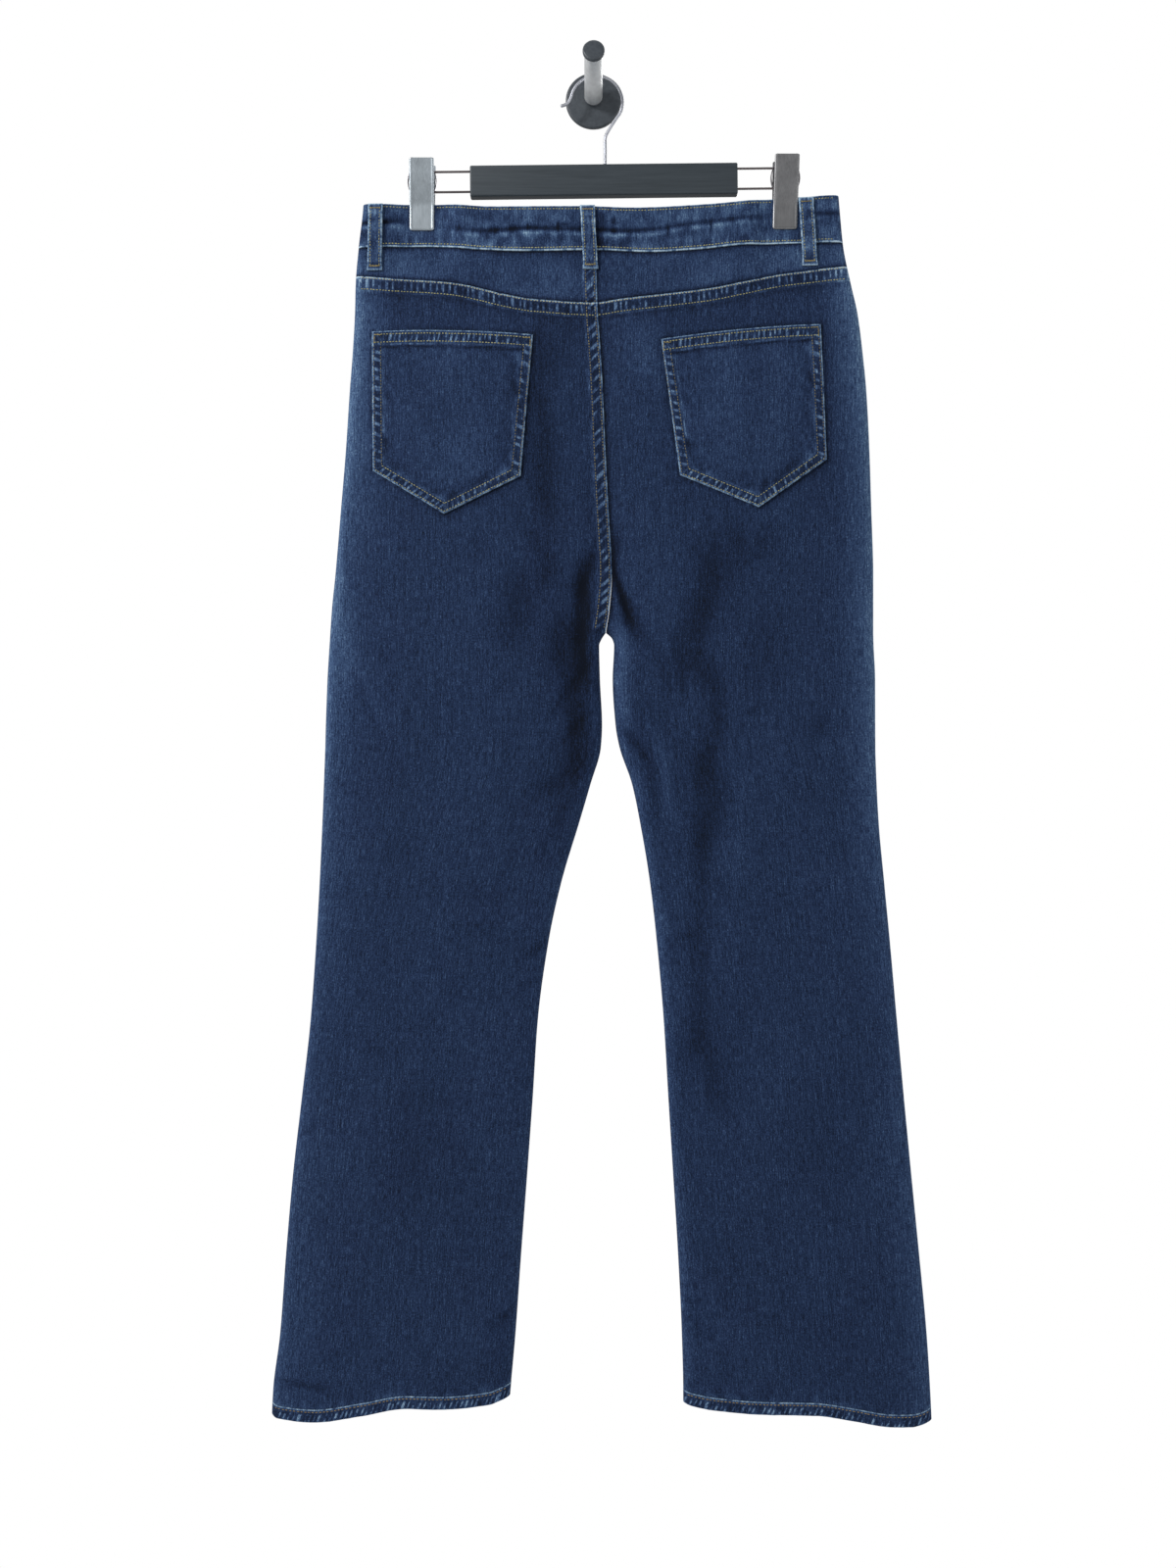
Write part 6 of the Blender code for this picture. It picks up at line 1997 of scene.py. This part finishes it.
def jaw(side, name, sign, centre_x, top_z, foot_z, lean, steel):
    """Pressed sheet jaw: a bent plate with turned-in sides and a rounded foot."""
    close = CLIP_PINCH_DEPTH + SEAM_GAP / 2 + 0.35 + CLIP_WALL
    profile = [(top_z, close + 6.2), ((top_z - 95) / 2 - 4, close + 3.4), (-96.0, close + 0.9),
               (-99.5, close), (foot_z + 1.6, close), (foot_z, close + 0.2)]
    zs = np.array([p[0] for p in profile])
    ys = np.array([p[1] for p in profile])
    rows = 70
    z = top_z + (foot_z - top_z) * uneven(rows, 0.7)
    away = np.interp(-z, -zs, ys)
    kernel = np.array([1, 2, 3, 2, 1]) / 9
    away = np.convolve(np.pad(away, 2, mode="edge"), kernel, "valid")
    u = np.sin(np.linspace(-math.pi / 2, math.pi / 2, 33))
    half = CLIP_WIDTH / 2
    # rounded corners at the foot, small ones at the top
    corner = 2.6
    into_foot = np.clip((corner - (z - foot_z)) / corner, 0, 1)
    into_top = np.clip((1.4 - (top_z - z)) / 1.4, 0, 1)
    trim = corner * (1 - np.sqrt(1 - into_foot ** 2)) + 1.4 * (1 - np.sqrt(1 - into_top ** 2))
    width = half - trim
    shift = (z - (top_z + foot_z) / 2) * math.tan(lean)
    x = centre_x + shift[:, None] + width[:, None] * u[None, :]
    # raised lip a millimetre in from the sides and the foot, turned in at the very edge
    side_d = (half - trim)[:, None] - np.abs(width[:, None] * u[None, :])
    foot_d = (z - foot_z)[:, None] + 0 * x
    d = np.minimum(side_d, foot_d)
    lip = 0.28 * np.exp(-((d - 1.25) / 0.55) ** 2) - 0.55 * (1 - rounded(d, 1.0))
    outer_away = away[:, None] + lip
    inner_away = away[:, None] - CLIP_WALL * 0.72 + np.minimum(0.0, lip * 0)
    inner_away = np.minimum(inner_away, outer_away - 0.25)
    zz = z[:, None] + 0 * x
    outer = np.stack([x, HANG_Y + sign * outer_away, zz], -1)
    inner = np.stack([x, HANG_Y + sign * inner_away, zz], -1)
    count = len(u)
    points = np.concatenate([outer.reshape(-1, 3), inner.reshape(-1, 3)])
    r = np.arange(rows - 1)[:, None]
    c = np.arange(count - 1)[None, :]
    a = np.stack([r * count + c, r * count + c + 1, (r + 1) * count + c + 1, (r + 1) * count + c],
                 -1).reshape(-1, 4)
    s = rows * count
    c = c[0]
    low = (rows - 1) * count
    k = np.arange(rows - 1) * count
    quads = np.concatenate([
        a, a[:, ::-1] + s,
        np.stack([c + 1, c, c + s, c + 1 + s], -1),
        np.stack([low + c, low + c + 1, low + c + 1 + s, low + c + s], -1),
        np.stack([k, k + count, k + count + s, k + s], -1),
        np.stack([k + 2 * count - 1, k + count - 1, k + count - 1 + s, k + 2 * count - 1 + s], -1)])
    obj = finish_hard(f"jaw_{side}_{name}", mesh_from(f"jaw_{side}_{name}", points, quads), steel, 50)
    shown(obj, [f"clip_{side}_{name}"])


def hoop(side, centre_x, steel):
    """Oval spring band between the jaws, its sides bored for the rails."""
    dx = centre_x - BAR_X
    middle = Vector(hanger_point(dx, HANG_Y, RAIL_LIFT)) * MM
    mesh = bpy.data.meshes.new("hoop_" + side)
    bm = bmesh.new()
    bmesh.ops.create_cone(bm, cap_ends=False, segments=96, radius1=MM, radius2=MM,
                          depth=(HOOP_DEPTH - 0.8) * MM)
    bmesh.ops.scale(bm, vec=(HOOP_HALF_WIDTH, HOOP_HALF_HEIGHT, 1), verts=bm.verts)
    bm.to_mesh(mesh)
    bm.free()
    body = link("hoop_" + side, mesh)
    body.matrix_world = (Matrix.Translation(middle) @ Matrix.Rotation(-HANGER_TILT, 4, "Y")
                         @ Matrix.Rotation(math.radians(90), 4, "X"))
    wall = body.modifiers.new("wall", "SOLIDIFY")
    wall.thickness = HOOP_WALL * MM
    wall.offset = -1.0
    cutters = []
    for sign in (-1, 1):
        cutter_mesh = bpy.data.meshes.new("bore")
        bm = bmesh.new()
        bmesh.ops.create_cone(bm, cap_ends=True, segments=32, radius1=(RAIL_DIAMETER / 2 + 0.55) * MM,
                              radius2=(RAIL_DIAMETER / 2 + 0.55) * MM, depth=2 * HOOP_HALF_WIDTH * MM)
        bm.to_mesh(cutter_mesh)
        bm.free()
        cutter = link("bore", cutter_mesh)
        inward = HOOP_HALF_WIDTH if side == "left" else -HOOP_HALF_WIDTH
        at = hanger_point(dx + inward, HANG_Y, RAIL_LIFT + sign * RAIL_SPACING / 2)
        cutter.matrix_world = (Matrix.Translation(Vector(at) * MM)
                               @ Matrix.Rotation(-HANGER_TILT, 4, "Y")
                               @ Matrix.Rotation(math.radians(90), 4, "Y"))
        mod = body.modifiers.new("bore", "BOOLEAN")
        mod.operation = "DIFFERENCE"
        mod.object = cutter
        cutters.append(cutter)
    soft = body.modifiers.new("edges", "BEVEL")
    soft.width = 0.2 * MM
    soft.segments = 2
    soft.limit_method = "ANGLE"
    soft.angle_limit = math.radians(50)
    bpy.context.view_layer.update()
    done = bpy.data.meshes.new_from_object(body.evaluated_get(bpy.context.evaluated_depsgraph_get()))
    done.transform(body.matrix_world)
    for cutter in cutters:
        bpy.data.objects.remove(cutter, do_unlink=True)
    bpy.data.objects.remove(body, do_unlink=True)
    done.materials.clear()
    obj = finish_hard(f"spring_hoop_{side}", done, steel, 40)
    shown(obj, [f"clip_{side}_bracket"])


def clips():
    # the left clip takes a lighter, painted lit copy of the brushed steel and the right clip a darker, painted
    # shaded copy, as the light falls from the left
    lit_steel = brushed_material("brushed_steel_left", (0.30, 0.335, 0.36), (0.47, 0.52, 0.56), 0.42, 2)
    shaded_steel = brushed_material("brushed_steel_right", (0.16, 0.16, 0.165), (0.27, 0.27, 0.275), 0.44, 2)
    wire = plain_metal("rail_steel", (0.20, 0.17, 0.17), 0.32)
    band = plain_metal("spring_steel", (0.30, 0.28, 0.30), 0.30)
    for side, x, top_z, foot_z, lean, steel in (
            ("left", CLIP_LEFT_X, -60.6, -123.1, math.radians(0.3), lit_steel),
            ("right", CLIP_RIGHT_X, -57.2, -122.0, math.radians(1.4), shaded_steel)):
        for name, sign in (("outer", -1), ("inner", 1)):
            jaw(side, name, sign, x, top_z, foot_z, lean, steel)
        hoop(side, x, band)
    rails(wire)


def button_and_zip():
    brass = plain_metal("aged_brass", (0.42, 0.30, 0.17), 0.34, 0.12)
    low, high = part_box("waist_button")
    x, z = (low.x + high.x) / 2 / MM, (low.z + high.z) / 2 / MM
    seat = low.y / MM
    top = high.y / MM - seat
    rim = BUTTON_DIAMETER / 2
    rows = [(3.0, 0.0), (3.0, 1.1), (rim - 0.7, 1.1), (rim - 0.15, 1.4), (rim, 1.9), (rim - 0.25, 2.5),
            (rim - 0.8, min(3.0, top)), (rim - 1.5, min(3.15, top)), (rim - 2.1, 2.85), (rim - 2.5, 2.4), (rim - 3.2, 2.3),
            (rim - 3.8, 2.5), (2.6, 2.8), (1.2, 2.9)]
    button = turned("shank_button", rows, (x, seat, z), (0, 1, 0), brass, 64, 30)
    shown(button, ["waist_button"])

    # zip: two tapes and their teeth, closed
    tape = tape_material("zip_tape")
    low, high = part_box("fly_zip")
    deep = 2 * CLOTH_WALL + 1.5
    waist = lambda x: waist_foot("front", x) - SEAM_GAP - 0.4
    faces, looks = [], []
    for inset in (deep, deep + 1.0):
        xs, zs = [], []
        for v in np.linspace(0, 1, 60):
            u = np.linspace(0, 1, 14)
            zz = np.full(14, -200.0)
            for _ in range(6):
                xx = inner_edge("left", zz) + 10.0 - 26.0 * u
                zz = waist(xx) - (FLY_LENGTH - 18) * v
            xs.append(xx)
            zs.append(zz)
        xx, zz = np.array(xs), np.array(zs)
        faces.append(both_sides("front", xx, zz, inset))
        looks.append(looks_of(xx.shape, (xx, zz, 131.0)))
    zipper = shell("zip_tapes", faces[0], faces[1], looks[0], looks[1], tape)
    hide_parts("fly_zip")
    CLOTH["zip_tapes"] = zipper

    count = 66
    centre_z = np.linspace(-164.0, -164.0 - (FLY_LENGTH - 36), count)
    centre_x = SEAT_IN["left"](centre_z) - 3.0
    p = both_sides("front", centre_x, centre_z, deep + 1.0)
    verts, quads = [], []
    cube = np.array([(-1, -1, -1), (1, -1, -1), (1, 1, -1), (-1, 1, -1),
                     (-1, -1, 1), (1, -1, 1), (1, 1, 1), (-1, 1, 1)], float)
    box_faces = np.array([(0, 3, 2, 1), (4, 5, 6, 7), (0, 1, 5, 4), (1, 2, 6, 5), (2, 3, 7, 6), (3, 0, 4, 7)])
    for k in range(count):
        off = 0.9 if k % 2 else -0.9
        size = np.array([2.0, 0.75, 0.55])
        verts.append(cube * size + p[k] + np.array([off, -0.8, 0]))
        quads.append(box_faces + 8 * k)
    teeth = finish_hard("zip_teeth", mesh_from("zip_teeth", np.concatenate(verts), np.concatenate(quads)),
                        brass, 30)
    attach(teeth, "root")


# ------------------------------------------------------------ stage and camera
def stage():
    floor_mat = Nodes("pale_floor")
    at = floor_mat.new("ShaderNodeTexCoord").outputs["Object"]
    floor_mat.set(Base_Color=floor_mat.ramp(floor_mat.noise(at, 3.0, 0.6, 4.0), [
        (0.3, (0.80, 0.80, 0.80)), (0.7, (0.84, 0.84, 0.84))]), Roughness=0.7)
    mesh = bpy.data.meshes.new("floor")
    bm = bmesh.new()
    bmesh.ops.create_circle(bm, cap_ends=True, segments=96, radius=0.9)
    bm.to_mesh(mesh)
    bm.free()
    mesh.materials.append(floor_mat.mat)
    floor = link("floor", mesh)
    floor.location = (0.0, -0.02, -1.76)

    world = bpy.data.worlds.new("studio")
    bpy.context.scene.world = world
    world.use_nodes = True
    tree = world.node_tree
    tree.nodes.clear()
    out = tree.nodes.new("ShaderNodeOutputWorld")
    seen = tree.nodes.new("ShaderNodeBackground")
    seen.inputs[0].default_value = (1, 1, 1, 1)
    seen.inputs[1].default_value = 1.0
    fill = tree.nodes.new("ShaderNodeBackground")
    fill.inputs[0].default_value = (0.96, 0.98, 1.0, 1)
    fill.inputs[1].default_value = 0.40
    mix = tree.nodes.new("ShaderNodeMixShader")
    path = tree.nodes.new("ShaderNodeLightPath")
    tree.links.new(path.outputs["Is Camera Ray"], mix.inputs[0])
    tree.links.new(fill.outputs[0], mix.inputs[1])
    tree.links.new(seen.outputs[0], mix.inputs[2])
    tree.links.new(mix.outputs[0], out.inputs[0])
    bpy.context.scene.view_settings.view_transform = "Standard"

    def area(name, at, aim, size, watts, colour=(1, 1, 1)):
        data = bpy.data.lights.new(name, "AREA")
        data.shape = "RECTANGLE"
        data.size, data.size_y = size
        data.energy = watts
        data.color = colour
        light = bpy.data.objects.new(name, data)
        light.visible_camera = False
        bpy.context.scene.collection.objects.link(light)
        light.location = at
        light.rotation_mode = "QUATERNION"
        light.rotation_quaternion = (Vector(aim) - Vector(at)).to_track_quat("-Z", "Y")

    area("key", (-1.7, -1.75, 0.95), (0, 0, -0.60), (0.5, 0.5), 52)
    area("side_left", (-1.7, -0.42, -0.55), (0, 0, -0.6), (0.5, 1.7), 14)
    area("side_right", (1.7, -0.42, -0.55), (0, 0, -0.6), (0.5, 1.7), 8)
    area("fill", (1.5, -2.2, -0.5), (0, 0, -0.6), (1.2, 1.6), 10)
    area("rear", (0.9, 2.2, 0.8), (0, 0, -0.5), (1.4, 1.6), 30)


def camera():
    data = bpy.data.cameras.new("camera")
    data.sensor_fit = "AUTO"
    data.sensor_width = 36.0
    data.lens = 41.38
    data.clip_start, data.clip_end = 0.05, 30.0
    cam = bpy.data.objects.new("camera", data)
    bpy.context.scene.collection.objects.link(cam)
    cam.location = (-0.00484, -1.622, -0.6131)
    cam.rotation_euler = (math.radians(90), 0, 0)
    bpy.context.scene.camera = cam


# ------------------------------------------------------------------------ main
camera()
back_panels()
front_panels()
facings()
waistband()
hems()
pockets()
belt_loops()
fly_facing()
button_and_zip()
back_stitches()
hem_stitches()
front_stitches()
bar()
clips()
wall_hook()
stage()

# the flat size of what shows of each piece of cloth, in metres, its area where the cut is no
# rectangle, and what it hangs from
Cut = namedtuple("Cut", "piece width length area hangs_from")
CUTS = [
    Cut("waistband", 0.905, 0.040, None, ["clip_left_outer", "clip_left_inner",
                                          "clip_right_outer", "clip_right_inner"]),
    Cut("yoke_left", 0.217, 0.060, 0.0080, ["waistband"]),
    Cut("yoke_right", 0.217, 0.060, 0.0077, ["waistband"]),
    Cut("back_left", 0.300, 1.000, 0.2230, ["yoke_left"]),
    Cut("back_right", 0.300, 1.000, 0.2230, ["yoke_right"]),
    Cut("front_left", 0.300, 1.010, 0.2220, ["waistband"]),
    Cut("front_right", 0.300, 1.010, 0.2220, ["waistband"]),
    Cut("pocket_facing_left", 0.109, 0.088, 0.0068, ["waistband"]),
    Cut("pocket_facing_right", 0.109, 0.088, 0.0065, ["waistband"]),
    Cut("back_pocket_left", 0.143, 0.160, 0.0200, ["back_left"]),
    Cut("back_pocket_right", 0.143, 0.160, 0.0200, ["back_right"]),
    Cut("leg_hem_left", 0.430, 0.0115, None, ["back_left", "front_left"]),
    Cut("leg_hem_right", 0.450, 0.0115, None, ["back_right", "front_right"]),
    Cut("belt_loop_back", 0.0126, 0.058, None, ["waistband"]),
    Cut("belt_loop_back_left", 0.0126, 0.058, None, ["waistband"]),
    Cut("belt_loop_back_right", 0.0126, 0.058, None, ["waistband"]),
    Cut("belt_loop_front_left", 0.0126, 0.058, None, ["waistband"]),
    Cut("belt_loop_front_right", 0.0126, 0.058, None, ["waistband"]),
    Cut("fly_facing", 0.052, 0.165, 0.0083, ["front_left"]),
    Cut("zip_tapes", 0.026, 0.147, None, ["fly_facing"]),
]
for cut in CUTS:
    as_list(cut.hangs_from)
